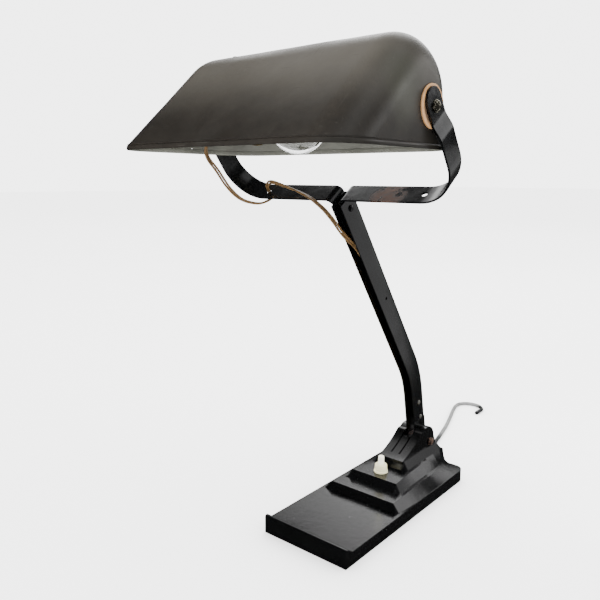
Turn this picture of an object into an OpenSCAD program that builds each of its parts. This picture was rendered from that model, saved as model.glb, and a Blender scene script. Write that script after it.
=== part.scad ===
// Banker's desk lamp: cast base with a stepped pedestal, friction hinge, U-channel arm,
// strap yoke and a pressed sheet-metal hood. X is across the lamp, the front faces -Y, Z is up.
// The origin is on the table, under the middle of the lamp's outline.

/* [Base] */
// Width of the base plate, left to right
base_w = 130; // [126:1:134]
// Height of the plate's flat top
plate_h = 18; // [17:0.5:19]
// How far the front lip stands above the plate
lip_rise = 6; // [4:0.5:7]
// Height of the first step
step1_z = 29.2; // [28.8:0.1:29.6]
// Height of the second step, where the switch sits
step2_z = 41; // [40.5:0.5:41.5]
// Height of the third step, under the hinge
step3_z = 52; // [51:0.5:53]

/* [Hinge and arm] */
// Height of the hinge bolt above the table
hinge_z = 58.5; // [57:0.5:59]
// Outside width of the arm channel
arm_w = 14.8; // [14.4:0.1:15]
// Depth of the arm channel, front to back
arm_depth = 31; // [30:0.5:32]
// Sheet thickness of the arm channel
arm_t = 1.6; // [1.4:0.1:1.8]
// Lean of the arm's lower stretch, from upright
lean_low = 11.5; // [11:0.5:12]
// Lean of the arm's upper stretch, from upright
lean_high = 35.2; // [35:0.1:35.4]
// Length of the lower stretch, from the hinge to the bend
low_len = 84; // [83:0.5:85]
// Length of the upper stretch, from the bend to the yoke bolt
high_len = 278.7; // [277.7:0.5:279.7]

/* [Yoke] */
// Lean of the yoke's plane, from upright
yoke_lean = 36; // [35.5:0.25:36.5]
// Width of the yoke's strips
strip_w = 28; // [26:0.5:29]
// Thickness of the yoke's strips
strip_t = 2.4; // [2:0.1:2.6]
// Distance from the middle to the outer face of an upright
yoke_half = 160.4; // [160:0.1:161]
// Radius of the yoke's lower bends
yoke_r = 45; // [40:1:48]
// Height of the shade pivot above the yoke's cross strips
pivot_up = 105; // [104:0.5:106]

/* [Shade] */
// Half the length of the shade
shade_half = 151; // [150.5:0.1:151.2]
// Sheet thickness of the shade
shade_t = 1.2; // [1:0.1:1.4]
// Height of the shade's rim above the table
rim_z = 483.5; // [482:0.5:485]
// Height of the band around the rim
band_h = 5; // [4:0.5:6]
// Rise of the flat front panel, from level
front_angle = 42; // [41:0.5:43]
// Length of the flat front panel
front_len = 131; // [129:1:133]
// Radius of the crown
crown_r = 61; // [60:0.5:62]
// Lean of the back panel, from upright
back_angle = 8; // [7:0.5:9]
// Radius of the soft edge between the hood and its ends
edge_r = 36; // [32:1:38]

/* [Lamp and cord] */
// Diameter of the bulb
bulb_d = 60; // [58:1:60]
// Diameter of the twin flex
flex_d = 4.2; // [4:0.1:4.4]
// Diameter of the mains cord
cord_d = 6.4; // [6:0.1:6.6]
// Travel of the push button
button_travel = 4; // [3:0.5:4]

/* [Hidden] */

$fn = 48;
eps = 0.01;

// ---- places ----
base_front = -82;
base_rear = 230;
base_half = base_w / 2;
rear_corner_r = 14;
hinge_y = 200.8;
bolt_back = 6;
switch_y = 93;
wall = 6;

// A direction that leans forward from upright by an angle, and the one square to it, to the rear.
function lean_up(a) = [-sin(a), cos(a)];
function lean_back(a) = [cos(a), sin(a)];

// The arm's centre line in the YZ plane: hinge, bend and yoke bolt.
// The hinge bolt sits a little behind the centre line.
hinge_at = [hinge_y, hinge_z];
arm_foot = hinge_at - bolt_back * lean_back(lean_low);
bend_r = 140;
bend_angle = lean_high - lean_low;
bend_start = arm_foot + low_len * lean_up(lean_low);
bend_centre = bend_start - bend_r * lean_back(lean_low);
bend_end = bend_centre + bend_r * lean_back(lean_high);
yoke_bolt_at = bend_end + high_len * lean_up(lean_high);

// The middle of the yoke's cross strips, and the pivot of the shade, in the YZ plane.
bolt_below_strip = 22;
yoke_at = yoke_bolt_at + bolt_below_strip * lean_up(yoke_lean);
pivot_at = yoke_at + pivot_up * lean_up(yoke_lean);

// Faces along X at the shade pivot.
joggle = 4.3;
washer_t = 2.6;
eye_out = yoke_half - joggle;
eye_in = eye_out - strip_t;
flex_hole_x = 114;

// The shade's section in the YZ plane: a flat front panel, a round crown and a flat back panel.
shade_front = -229;
panel_from = [shade_front, rim_z + band_h];
panel_to = panel_from + front_len * [cos(front_angle), sin(front_angle)];
crown_centre = panel_to - crown_r * [-sin(front_angle), cos(front_angle)];

// The lamp holder's axis in the YZ plane, and its stations along X.
lamp_at = [-127, 509];
bulb_x = 26;
bulb_len = 104;
cap_len = 26;
cap_r = 13;
bulb_tip = bulb_x + bulb_d / 2;
bulb_end = bulb_tip - bulb_len;
socket_mouth = bulb_end + cap_len - 4;
socket_back = bulb_end - 30;

// ---- small helpers ----
module at_yz(p, x = 0) { translate([x, p[0], p[1]]) children(); }
module along_x(len, r, centre = false) {
    rotate([0, 90, 0]) cylinder(h = len, r = r, center = centre);
}
module both_sides() {
    children();
    mirror([1, 0, 0]) children();
}
// Extrudes a YZ outline along X, from x0 to x1.
module plate_yz(x0, x1) {
    translate([x0, 0, 0]) rotate([90, 0, 90]) linear_extrude(x1 - x0) children();
}
function unit(v) = v / norm(v);
function arc(c, r, a0, a1, n) = [
    for (i = [0:n]) let (a = a0 + (a1 - a0) * i / n) c + r * [cos(a), sin(a)]
];

// A solid through rings of points that all have the same count, each ring clockwise seen from the
// last one's side.
function flatten(rows) = [for (r = rows) each r];
module loft(rings) {
    n = len(rings[0]);
    m = len(rings);
    skin = [
        for (i = [0:m - 2]) for (j = [0:n - 1]) let (k = (j + 1) % n)
            each [
                [i * n + j, i * n + k, (i + 1) * n + k],
                [i * n + j, (i + 1) * n + k, (i + 1) * n + j]
            ]
    ];
    first = [[for (j = [n - 1:-1:0]) j]];
    last = [[for (j = [0:n - 1]) (m - 1) * n + j]];
    polyhedron(flatten(rings), concat(skin, first, last), convexity = 8);
}

// ---- a tube along a route ----
// Points of a smooth curve through the route, k to a span.
function spline_at(p, i, t) = let (
    a = p[max(i - 1, 0)], b = p[i], c = p[i + 1], d = p[min(i + 2, len(p) - 1)]
) 0.5 * ((2 * b) + (c - a) * t + (2 * a - 5 * b + 4 * c - d) * t * t
    + (3 * b - a - 3 * c + d) * t * t * t);
function smooth(p, k) = [
    for (i = [0:len(p) - 2]) for (j = [0:k - 1]) spline_at(p, i, j / k), p[len(p) - 1]
];
function tangents(q) = [
    for (i = [0:len(q) - 1]) unit(q[min(i + 1, len(q) - 1)] - q[max(i - 1, 0)])
];
// Each ring's side direction, carried along the route so that the tube doesn't twist.
function carried(n, t) = unit(n - (n * t) * t);
function sides_of(t) = [
    for (i = 0, n = carried([0.31, 0.2, 1], t[0]); i < len(t);
        i = i + 1, n = i < len(t) ? carried(n, t[i]) : n) n
];
// One piece of the tube, between two of the route's points. Neighbours share the ring between them.
module tube(route, r, k = 3, sides = 8, from = 0, to = undef) {
    q = smooth(route, k);
    t = tangents(q);
    s = sides_of(t);
    low = from * k;
    high = is_undef(to) ? len(q) - 1 : to * k;
    rings = high - low + 1;
    points = [
        for (i = [low:high]) let (b = cross(t[i], s[i])) for (j = [0:sides - 1])
            let (a = 360 * j / sides) q[i] + r * (cos(a) * s[i] + sin(a) * b)
    ];
    skin = [
        for (i = [0:rings - 2]) for (j = [0:sides - 1]) let (m = (j + 1) % sides)
            [i * sides + j, (i + 1) * sides + j, (i + 1) * sides + m, i * sides + m]
    ];
    first = [[for (j = [0:sides - 1]) j]];
    last = [[for (j = [sides - 1:-1:0]) (rings - 1) * sides + j]];
    polyhedron(points, concat(skin, first, last), convexity = 6);
}

// ---- base ----
// The pedestal's half sections, front to back: y, then six [x, z] points from the toe to the top.
// The three steps are wide at the front and run together into one hollow flare at the back.
z1 = step1_z;
z2 = step2_z;
z3 = step3_z;
toe_z = plate_h - 1;
pedestal_sections = [
    [38, [[60.4, 15.8], [59, 15.8], [43, 15.8], [36, 15.8], [28, 15.8], [22, 15.8]]],
    [44, [[61.4, toe_z], [51.5, z1], [44, z1], [36, z1], [28, z1], [22, z1]]],
    [67, [[63, toe_z], [50.8, z1 - 0.1], [44.3, z1], [42, z1], [28, z1], [22, z1]]],
    [74, [[63.4, toe_z], [50.3, z1 - 0.2], [43.8, z1 - 0.1], [37, z2], [28, z2], [22, z2]]],
    [116, [[64.4, toe_z], [48.8, 28.5], [43, 28.8], [33.6, z2 - 0.3], [28.6, z2], [26, z2]]],
    [121, [[64.4, toe_z], [48.6, 28.4], [42.9, 28.7], [33.3, z2 - 0.4], [28.4, z2], [21.5, z3]]],
    [175, [[64.4, toe_z], [45.5, 26.2], [41, 27], [30.3, z2 - 2], [27, z2 - 0.3], [21, z3]]],
    [215, [[64.4, toe_z], [41.5, 20.8], [35.5, 23.5], [30.2, 33.5], [28.2, z2 - 1], [23, z3]]],
    [227.5, [[52, toe_z], [40, toe_z + 0.3], [33, 22], [30, 30], [28.5, z2 - 1], [23, z2]]]
];
module pedestal() {
    root_z = 12;
    half = 6;
    loft([
        for (s = pedestal_sections) concat(
            [[s[1][0][0], s[0], root_z]],
            [for (p = s[1]) [p[0], s[0], p[1]]],
            [for (i = [half - 1:-1:0]) [-s[1][i][0], s[0], s[1][i][1]]],
            [[-s[1][0][0], s[0], root_z]]
        )
    ]);
}
// The plate's outline, with two round corners at the back.
module plate_outline(inset = 0) {
    r = rear_corner_r - inset;
    side = base_half - inset;
    polygon(concat(
        [[-side, base_front + inset], [side, base_front + inset]],
        arc([side - r, base_rear - inset - r], r, 0, 90, 10),
        arc([-side + r, base_rear - inset - r], r, 90, 180, 10)
    ));
}
module front_lip() {
    lip_w = 10;
    top = plate_h + lip_rise;
    plate_yz(-base_half, base_half) polygon([
        [base_front, plate_h - 4], [base_front, top - 2], [base_front + 1, top - 0.6],
        [base_front + 3, top], [base_front + 5, top - 0.5], [base_front + 7.5, top - 3],
        [base_front + lip_w + 0.8, plate_h - 1],
        [base_front + lip_w, plate_h - 4]
    ]);
}
// The hinge block's side outline: a hollow front slope that ends in a round lobe.
ear_half = 20;
lobe_at = [hinge_y - 10.5, hinge_z + 4.5];
lobe_r = 21.5;
module ear_outline() {
    slope_r = 140;
    slope_at = [81.2, 187.8];
    polygon(concat(
        [[118, z3 - 8]],
        arc(slope_at, slope_r, -74.5, -50.5, 10),
        arc(lobe_at, lobe_r, 128, 6, 14),
        [[hinge_y + 17, z3], [hinge_y + 18, z3 - 4], [hinge_y + 18, z3 - 8]]
    ));
}
slot_in = arm_w / 2 - arm_t - 0.3;
slot_out = arm_w / 2 + 0.3;
module hinge_slot() {
    plate_yz(slot_in, slot_out) polygon([
        [131, z3 + 2], [184, z3 - 11.4], [hinge_y, z3 - 13.8], [222, z3 - 10], [236, z3 + 6],
        [236, z3 + 60], [131, z3 + 60]
    ]);
}
hinge_bolt_r = 3;
rib_z = z3 + 21;
flex_hole_r = flex_d / 2 + 0.6;
flex_hole_at = [186, 33];
boss_points = [[-50, -66], [50, -66], [-50, 200], [50, 200]];
cover_z = 2;
cover_t = 1.5;
module base_casting() {
    color("#141517") difference() {
        union() {
            linear_extrude(plate_h) plate_outline();
            front_lip();
            pedestal();
            plate_yz(-ear_half, ear_half) ear_outline();
        }
        both_sides() hinge_slot();
        // the throat between the cheeks, over a lower rib
        translate([-slot_in - 0.1, 148, rib_z]) cube([2 * slot_in + 0.2, 90, 40]);
        // hollow underside, with bosses left for the cover's screws
        difference() {
            translate([0, 0, -1]) linear_extrude(plate_h - 8) plate_outline(wall);
            for (b = boss_points) translate([b[0], b[1], cover_z + cover_t]) cylinder(h = 20, r = 5);
        }
        translate([-26, 62, -1]) cube([52, 146, 25]);
        translate([-17, 78, -1]) cube([34, 130, 36]);
        for (b = boss_points) translate([b[0], b[1], -1]) cylinder(h = 12, r = 1.7);
        // hinge bolt, switch neck, flex and cord holes
        at_yz(hinge_at) along_x(60, hinge_bolt_r, true);
        translate([0, switch_y, 20]) cylinder(h = 30, r = 5.1);
        translate([1.5, flex_hole_at[0], 20]) cylinder(h = 72, r = flex_hole_r);
        translate([cord_x, base_rear - 20, grommet_z]) rotate([-90, 0, 0]) cylinder(h = 30, r = 5);
    }
}
module bottom_cover() {
    color("#3b3b3b") difference() {
        translate([0, 0, cover_z]) linear_extrude(cover_t) plate_outline(wall + 0.2);
        for (b = boss_points) translate([b[0], b[1], -1]) cylinder(h = 12, r = 2.1);
    }
}
module felt_pad() {
    color("#2f4a35") difference() {
        linear_extrude(cover_z) plate_outline(wall + 0.6);
        for (b = boss_points) translate([b[0], b[1], -1]) cylinder(h = 12, r = 4.6);
    }
}
module cover_screws() {
    color("silver") for (b = boss_points) translate([b[0], b[1], 0.5]) difference() {
        union() {
            cylinder(h = 1.5, r = 3.6);
            cylinder(h = 9, r = 1.7);
        }
        translate([-4, -0.5, -1]) cube([8, 1, 1.6]);
    }
}

// ---- switch ----
collar_h = 12.5;
button_r = 4.2;
button_top = step2_z + 24.5;
module switch_body() {
    color("ivory") translate([0, switch_y, 0]) difference() {
        union() {
            translate([0, 0, 14]) cylinder(h = 19, r = 11);
            translate([0, 0, 33]) cylinder(h = 2, r = 7.5);
            translate([0, 0, 35]) cylinder(h = step2_z + 4 - 35, r = 5);
        }
        // well for the spring and the button's stem
        translate([0, 0, 20]) cylinder(h = 40, r = 3.6);
    }
}
module switch_collar() {
    color("ivory") translate([0, switch_y, step2_z]) difference() {
        rotate_extrude() polygon([
            [0, 0], [9.6, 0], [10, 0.7], [10, 2], [9.3, 4.4], [8.8, 8.2], [8.6, 10.6], [8.1, 11.9],
            [7.2, collar_h], [0, collar_h]
        ]);
        translate([0, 0, -1]) cylinder(h = 5.05, r = 5);
        cylinder(h = 20, r = button_r + 0.1);
    }
}
spring_low = 20;
module switch_button() {
    stem_z = 28;
    head_z = step2_z + 4.5 + button_travel;
    high = button_top - head_z;
    color("ivory") translate([0, switch_y, 0]) {
        translate([0, 0, stem_z]) cylinder(h = head_z - stem_z, r = 3.5);
        translate([0, 0, head_z]) rotate_extrude() polygon([
            [0, 0], [button_r, 0], [button_r, high - 1.5], [button_r - 0.5, high - 0.5],
            [button_r - 1.4, high], [0, high]
        ]);
    }
}
module switch_spring() {
    turns = 4;
    high = 28;
    pitch = (high - spring_low) / turns;
    color("silver") translate([0, switch_y, 0]) for (i = [0:turns - 1])
        translate([0, 0, spring_low + pitch * (i + 0.5)]) rotate_extrude()
            translate([2.6, 0]) circle(r = 0.45, $fn = 16);
}
module terminal_block() {
    color("#6b3b23") difference() {
        translate([-14, 132, cover_z + cover_t]) cube([28, 20, 14]);
        for (x = [-8, 0, 8]) {
            translate([x, 131, 10]) rotate([-90, 0, 0]) cylinder(h = 30, r = 2);
            translate([x, 142, 10]) cylinder(h = 14, r = 1.6);
        }
    }
}

// ---- mains cord ----
grommet_z = 9;
grommet_len = 26;
cord_r = cord_d / 2;
cord_x = -14;
cord_exit = [cord_x, base_rear + grommet_len, grommet_z];
cord_route = [
    cord_exit, [-14, 266, 8.6], [-14.5, 276, 6.8], [-18, 289, 4.6], [-24, 303, 3.2], [-30, 316, 3.2],
    [-35, 331, 3.2], [-42, 360, 3.2], [-53, 401, 3.2], [-68, 448, 3.2], [-79, 480, 3.2],
    [-88, 511, 3.2], [-88, 529, 3.2], [-78, 541, 3.2], [-64, 545, 3.2], [-50, 541, 3.2],
    [-40, 529, 3.2], [-39, 516, 3.2]
];
module cord_grommet() {
    color("#1b1b1b") translate([cord_x, base_rear, grommet_z]) rotate([-90, 0, 0]) difference() {
        union() {
            translate([0, 0, -wall]) cylinder(h = wall, r = 5);
            cylinder(h = 3, r = 7.5);
            translate([0, 0, 3]) cylinder(h = grommet_len - 3, r1 = 6, r2 = cord_r + 0.5);
        }
        translate([0, 0, -20]) cylinder(h = 60, r = cord_r - 0.4);
    }
}
module mains_cord() {
    color("#4a4a48") tube(cord_route, cord_r, 2, 10);
}
sleeve_len = 14;
module cord_end_sleeve() {
    q = smooth(cord_route, 2);
    end = q[len(q) - 1];
    way = unit(end - q[len(q) - 2]);
    color("black") translate(end) rotate([-90, 0, atan2(way[1], way[0]) - 90])
        cylinder(h = sleeve_len, r = cord_r - 0.05, $fn = 24);
}

// ---- hinge ----
module hinge_bolt() {
    color("#5a4038") at_yz(hinge_at) {
        translate([-28, 0, 0]) along_x(50, hinge_bolt_r - 0.05);
        translate([22, 0, 0]) difference() {
            rotate([0, 90, 0]) cylinder(h = 4, r1 = 6, r2 = 5);
            translate([3, -0.8, -8]) cube([4, 1.6, 16]);
        }
    }
}
module hinge_nut() {
    color("#5a4038") at_yz(hinge_at) difference() {
        translate([-27, 0, 0]) rotate([0, 90, 0]) cylinder(h = 5, r = 6.2, $fn = 6);
        along_x(70, hinge_bolt_r - 0.05, true);
    }
}
module hinge_washers() {
    color("silver") both_sides() at_yz(hinge_at, ear_half) difference() {
        along_x(2, 6.2);
        translate([-1, 0, 0]) along_x(4, hinge_bolt_r + 0.1);
    }
}

// ---- arm ----
// The channel's centre line as two straight stretches and an arc, and its outline at any offset.
// Offsets count to the rear.
function arm_line(off, foot, head) = concat(
    [arm_foot - foot * lean_up(lean_low) + off * lean_back(lean_low)],
    arc(bend_centre, bend_r + off, lean_low, lean_high, 8),
    [yoke_bolt_at + head * lean_up(lean_high) + off * lean_back(lean_high)]
);
function reversed(p) = [for (i = [len(p) - 1:-1:0]) p[i]];
module arm_side(front, rear, foot = 0, head = 0) {
    polygon(concat(arm_line(front, foot, head), reversed(arm_line(rear, foot, head))));
}
// A point beside the lower stretch, and one beside the upper stretch, in the YZ plane.
function low_point(along, off) = arm_foot + along * lean_up(lean_low) + off * lean_back(lean_low);
function high_point(along, off) = yoke_bolt_at + along * lean_up(lean_high) + off * lean_back(lean_high);
web_from = 38;
arm_head = 13.5;
module arm_channel() {
    half = arm_depth / 2;
    web_in = half - arm_t;
    color("#141517") difference() {
        // the outside, with a round foot
        plate_yz(-arm_w / 2, arm_w / 2) polygon(concat(
            reversed(arc(arm_foot, half, lean_low + 180, lean_low + 360, 24)),
            arc(bend_centre, bend_r - half, lean_low, lean_high, 8),
            [high_point(arm_head, -half), high_point(arm_head, half)],
            arc(bend_centre, bend_r + half, lean_high, lean_low, 8)
        ));
        // the inside: open to the front, and to the back beside the hinge block
        plate_yz(-arm_w / 2 + arm_t, arm_w / 2 - arm_t) polygon(concat(
            [low_point(-40, -half - 20)],
            arc(bend_centre, bend_r - half - 20, lean_low, lean_high, 8),
            [high_point(60, -half - 20), high_point(60, web_in)],
            arc(bend_centre, bend_r + web_in, lean_high, lean_low, 8),
            [low_point(web_from, web_in), low_point(web_from, half + 20), low_point(-40, half + 20)]
        ));
        at_yz(hinge_at) along_x(40, hinge_bolt_r, true);
        at_yz(yoke_bolt_at) along_x(40, 2.5, true);
        for (p = arm_screws_at) at_yz(p) along_x(40, 2, true);
        at_yz(spare_hole_at) along_x(40, 1.8);
    }
}
arm_screws_at = [low_point(42, 2), low_point(67, 0.5)];
spare_hole_at = bend_end + 128 * lean_up(lean_high);
filler_front = 2.2;
module arm_filler() {
    // a block between the flanges, behind the flex
    color("#2a2a2a") difference() {
        at_yz(arm_foot) rotate([lean_low, 0, 0])
            translate([-arm_w / 2 + arm_t, -filler_front, web_from + 1.5])
                cube([arm_w - 2 * arm_t, arm_depth / 2 - arm_t + filler_front, 32.5]);
        for (p = arm_screws_at) at_yz(p) along_x(40, 2, true);
    }
}
module arm_screws() {
    color("#6f6a62") for (p = arm_screws_at) at_yz(p) {
        along_x(arm_w + 2, 2, true);
        translate([arm_w / 2, 0, 0]) difference() {
            rotate([0, 90, 0]) cylinder(h = 1.8, r1 = 3.6, r2 = 2.6);
            translate([1, -0.4, -5]) cube([3, 0.8, 10]);
        }
        translate([-arm_w / 2 - 1.4, 0, 0]) rotate([0, 90, 0]) cylinder(h = 1.4, r1 = 2.4, r2 = 3.2);
    }
}

// ---- yoke ----
// One strip's centre line, from its leg in the arm to its eye: across is X, up is the yoke's lean.
leg_x = arm_w / 2 - arm_t - strip_t / 2;
leg_r = 9;
leg_down = 38;
side_x = yoke_half - strip_t / 2;
eye_x = eye_out - strip_t / 2;
function strip_line(off) = concat(
    [[leg_x + off, -leg_down], [leg_x + off, -leg_r]],
    arc([leg_x + leg_r, -leg_r], leg_r - off, 180, 90, 6),
    arc([side_x - yoke_r, yoke_r], yoke_r + off, -90, 0, 16),
    [[side_x + off, pivot_up - 26], [side_x + off, pivot_up - 24.5]],
    [[eye_x + off, pivot_up - 17], [eye_x + off, pivot_up - 15.5], [eye_x + off, pivot_up + 25]]
);
module strip_band(width) {
    linear_extrude(width, center = true)
        polygon(concat(strip_line(-strip_t / 2), reversed(strip_line(strip_t / 2))));
}
// The outline that each strip is cut to, seen along X: a narrow leg below and a round eye on top.
module strip_cut() {
    leg_w = 25;
    eye_top = pivot_up + 19;
    rotate([90, 0, 90]) linear_extrude(400, center = true) {
        translate([-leg_w / 2, -leg_down - 1]) square([leg_w, leg_down]);
        translate([-strip_w / 2, -4]) square([strip_w, eye_top - strip_w / 2 + 4]);
        translate([0, eye_top - strip_w / 2]) circle(r = strip_w / 2, $fn = 64);
    }
}
module in_yoke() { at_yz(yoke_at) rotate([yoke_lean, 0, 0]) children(); }
module yoke_strip() {
    difference() {
        in_yoke() intersection() {
            rotate([90, 0, 0]) strip_band(strip_w + 2);
            strip_cut();
        }
        in_yoke() translate([flex_hole_x, 0, -10]) cylinder(h = 20, r = 3.7);
        at_yz(pivot_at) translate([100, 0, 0]) along_x(100, 3.05);
        at_yz(yoke_bolt_at) along_x(30, 2.5);
    }
}
module yoke_strip_right() { color("#17181a") yoke_strip(); }
module yoke_strip_left() { color("#17181a") mirror([1, 0, 0]) yoke_strip(); }
spacer_half = leg_x - strip_t / 2;
module yoke_bolt() {
    color("#3a3a3a") at_yz(yoke_bolt_at) difference() {
        union() {
            along_x(arm_w + 8, 2.5, true);
            translate([arm_w / 2, 0, 0]) rotate([0, 90, 0]) cylinder(h = 2.2, r1 = 4.6, r2 = 3.2);
        }
        translate([arm_w / 2 + 1.4, -0.5, -6]) cube([6, 1, 12]);
    }
}
module yoke_spacer() {
    color("#3a3a3a") at_yz(yoke_bolt_at) difference() {
        along_x(2 * spacer_half, 4.2, true);
        along_x(40, 2.5, true);
    }
}
module yoke_nut() {
    color("#3a3a3a") at_yz(yoke_bolt_at) difference() {
        translate([-arm_w / 2 - 3.4, 0, 0]) rotate([0, 90, 0]) cylinder(h = 3.4, r = 4.4, $fn = 6);
        along_x(60, 2.5, true);
    }
}

// ---- shade ----
// The hood's section, with each point's outward normal, for an inset from its outer face.
crown_steps = 20;
function crown_dirs() = [
    for (i = [0:crown_steps]) let (a = 90 + front_angle + (back_angle - 90 - front_angle) * i / crown_steps)
        [cos(a), sin(a)]
];
function hood_row(inset, floor_z) = let (
    dirs = crown_dirs(),
    arc_points = [for (d = dirs) crown_centre + (crown_r - inset) * d],
    p = arc_points[0],
    q = arc_points[crown_steps],
    front = p - (p[1] - floor_z) * [1 / tan(front_angle), 1],
    back = q + (q[1] - floor_z) * [tan(back_angle), -1]
) concat([front], arc_points, [back]);
// The hood as rows of points from end to end. Each end's rows sink into the rounding.
end_steps = 7;
function hood_rows(inset, floor_z) = let (
    r = edge_r - inset,
    flat = shade_half - edge_r,
    ends = [for (i = [0:end_steps]) let (a = 90 * i / end_steps) [flat + r * sin(a), inset + r * (1 - cos(a))]]
) concat(
    [for (e = reversed(ends)) [for (p = hood_row(e[1], floor_z)) [-e[0], p[0], p[1]]]],
    [for (e = ends) [for (p = hood_row(e[1], floor_z)) [e[0], p[0], p[1]]]]
);
module hood_solid(inset, floor_z) { loft(hood_rows(inset, floor_z)); }
// The rim's outline at one height, for the band.
function rim_outline(inset, floor_z) = let (rows = hood_rows(inset, floor_z), n = len(rows[0])) concat(
    [for (r = rows) [r[0][0], r[0][1]]],
    [for (r = reversed(rows)) [r[n - 1][0], r[n - 1][1]]]
);
module shade_shell() {
    low = rim_z + band_h;
    color("#5b554c") difference() {
        union() {
            difference() {
                hood_solid(0, low);
                hood_solid(shade_t, low - eps);
            }
            translate([0, 0, rim_z]) linear_extrude(band_h) difference() {
                offset(delta = 1) polygon(rim_outline(0, low));
                offset(delta = -1.2) polygon(rim_outline(0, low));
            }
        }
        at_yz(pivot_at) along_x(400, 3.05, true);
        for (x = bracket_screw_x) at_yz(bracket_foot_at, x) rotate([bracket_tilt, 0, 0])
            cylinder(h = 20, r = 2, center = true);
    }
}
module fibre_washers() {
    color("#c98a4b") both_sides() at_yz(pivot_at, shade_half) difference() {
        along_x(washer_t - 0.1, 21);
        translate([-1, 0, 0]) along_x(6, 3.05);
    }
}
module pivot_bolts() {
    color("#3c3a36") both_sides() at_yz(pivot_at) {
        translate([shade_half - 12, 0, 0]) along_x(eye_out + 0.2 - shade_half + 12, 3);
        translate([eye_out + 0.1, 0, 0]) difference() {
            rotate([0, 90, 0]) rotate_extrude() polygon([
                [0, 0], [6.3, 0], [6.3, 1.2], [5.1, 1.3], [4.9, 3], [3.8, 4.5], [2, 5.3], [0, 5.5]
            ]);
            translate([4.4, -0.6, -8]) cube([4, 1.2, 16]);
        }
    }
}
module pivot_cup_washers() {
    color("silver") both_sides() at_yz(pivot_at, shade_half - shade_t) difference() {
        rotate([0, -90, 0]) cylinder(h = 2, r1 = 9, r2 = 7);
        along_x(10, 3, true);
    }
}
module pivot_nuts() {
    color("silver") both_sides() at_yz(pivot_at, shade_half - shade_t - 2) difference() {
        rotate([0, -90, 0]) cylinder(h = 5, r = 5.8, $fn = 6);
        along_x(30, 3, true);
    }
}

// ---- lamp holder and bulb ----
// The bracket is a strap from the crown down to the back of the lamp holder.
bracket_t = 2;
bracket_tilt = 0;
bracket_foot_at = [crown_centre[0], crown_centre[1] + crown_r];
bracket_x = socket_back;
bracket_w = 22;
bracket_screw_x = [bracket_x - 22];
module socket_bracket() {
    top = bracket_foot_at[1] - shade_t;
    color("#a9a49a") difference() {
        union() {
            plate_yz(bracket_x - bracket_t, bracket_x) polygon(concat(
                [[bracket_foot_at[0] - 9, top - 1], [bracket_foot_at[0] + 9, top - 1]],
                arc(lamp_at, 15, 0, -140, 10)
            ));
            translate([bracket_x - 30, bracket_foot_at[0] - 9, top - bracket_t - 0.95])
                cube([30, 18, bracket_t]);
        }
        at_yz(lamp_at) along_x(400, 5, true);
        for (x = bracket_screw_x) at_yz(bracket_foot_at, x) cylinder(h = 20, r = 2, center = true);
    }
}
module bracket_screws() {
    color("#5b554c") for (x = bracket_screw_x) at_yz(bracket_foot_at, x) {
        translate([0, 0, -8]) cylinder(h = 8.4, r = 2);
        translate([0, 0, 0.2]) cylinder(h = 1.6, r1 = 4.2, r2 = 2.6);
        translate([0, 0, -shade_t - bracket_t - 3.8]) cylinder(h = 2.8, r = 4, $fn = 6);
    }
}
module turned(x0) { at_yz(lamp_at, x0) rotate([0, 90, 0]) rotate_extrude() children(); }
socket_len = socket_mouth - socket_back;
module socket_shell() {
    color("#8a6a35") turned(socket_back) polygon([
        [5.2, 0], [12, 0], [14.5, 3], [15, 12], [17.5, 15], [17.5, socket_len], [16.1, socket_len],
        [16.1, 16], [13.6, 14], [12.6, 4], [11, 1.6], [5.2, 1.6]
    ]);
}
module socket_ring() {
    color("#8a6a35") turned(socket_mouth - 9) difference() {
        translate([17.5, 0]) square([1.8, 5]);
        for (i = [0:2]) translate([19.5, 0.9 + 1.6 * i]) circle(r = 0.5, $fn = 16);
    }
}
module socket_core() {
    color("#efe9dc") turned(socket_back + 16.2) difference() {
        square([15.9, socket_len - 17.2]);
        translate([-1, 10.8]) square([cap_r + 1.05, 60]);
    }
}
module bulb_cap() {
    color("silver") turned(bulb_end) polygon([
        [0, 0], [4.5, 0], [5, 2], [10, 4.5], [cap_r, 6], [cap_r, cap_len], [11.8, cap_len],
        [11.8, 7.5], [0, 7.5]
    ]);
}
// The glass outline: a round bulb that narrows in one smooth curve to its neck.
neck_r = 14;
glass_wall = 0.8;
globe_from = bulb_len - bulb_d / 2;
join_angle = 222;
function glass_line(inset) = let (
    r = bulb_d / 2 - inset,
    join = [globe_from, 0] + r * [cos(join_angle), -sin(join_angle)]
) concat(
    [
        [cap_len - 12, 11.6 - inset], [cap_len + 0.3, 11.6 - inset],
        [cap_len + 2.5, neck_r - 1 - inset], [cap_len + 9, neck_r - inset]
    ],
    [for (t = [0.35, 0.7]) let (s = t * t * (3 - 2 * t)) [
        cap_len + 9 + (join[0] - cap_len - 9) * t,
        neck_r - inset + (join[1] - neck_r + inset) * s
    ]],
    arc([globe_from, 0], r, 360 - join_angle, 0, 20)
);
module bulb_glass() {
    outer = glass_line(0);
    inner = glass_line(glass_wall);
    color("lightcyan", 0.35) turned(bulb_end) polygon([
        for (p = concat(outer, reversed(inner))) [max(p[1], 0), p[0]]
    ]);
}
module bulb_mount() {
    color("gainsboro") {
        turned(bulb_end + 8) polygon([[0, 0], [11, 0], [11, 3], [3.4, 9], [3, 34], [2.2, 40], [0, 40]]);
        for (s = [-1, 1]) at_yz(lamp_at + [s * 8, 0], bulb_end + 46) {
            rotate([s * 0, 90, 0]) cylinder(h = 22, r = 0.5, $fn = 16);
            rotate([s * 90, 0, 0]) cylinder(h = 8, r = 0.5, $fn = 16);
        }
        at_yz(lamp_at, bulb_end + 68) rotate([90, 0, 0]) cylinder(h = 16, r = 0.7, $fn = 16, center = true);
    }
}

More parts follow.
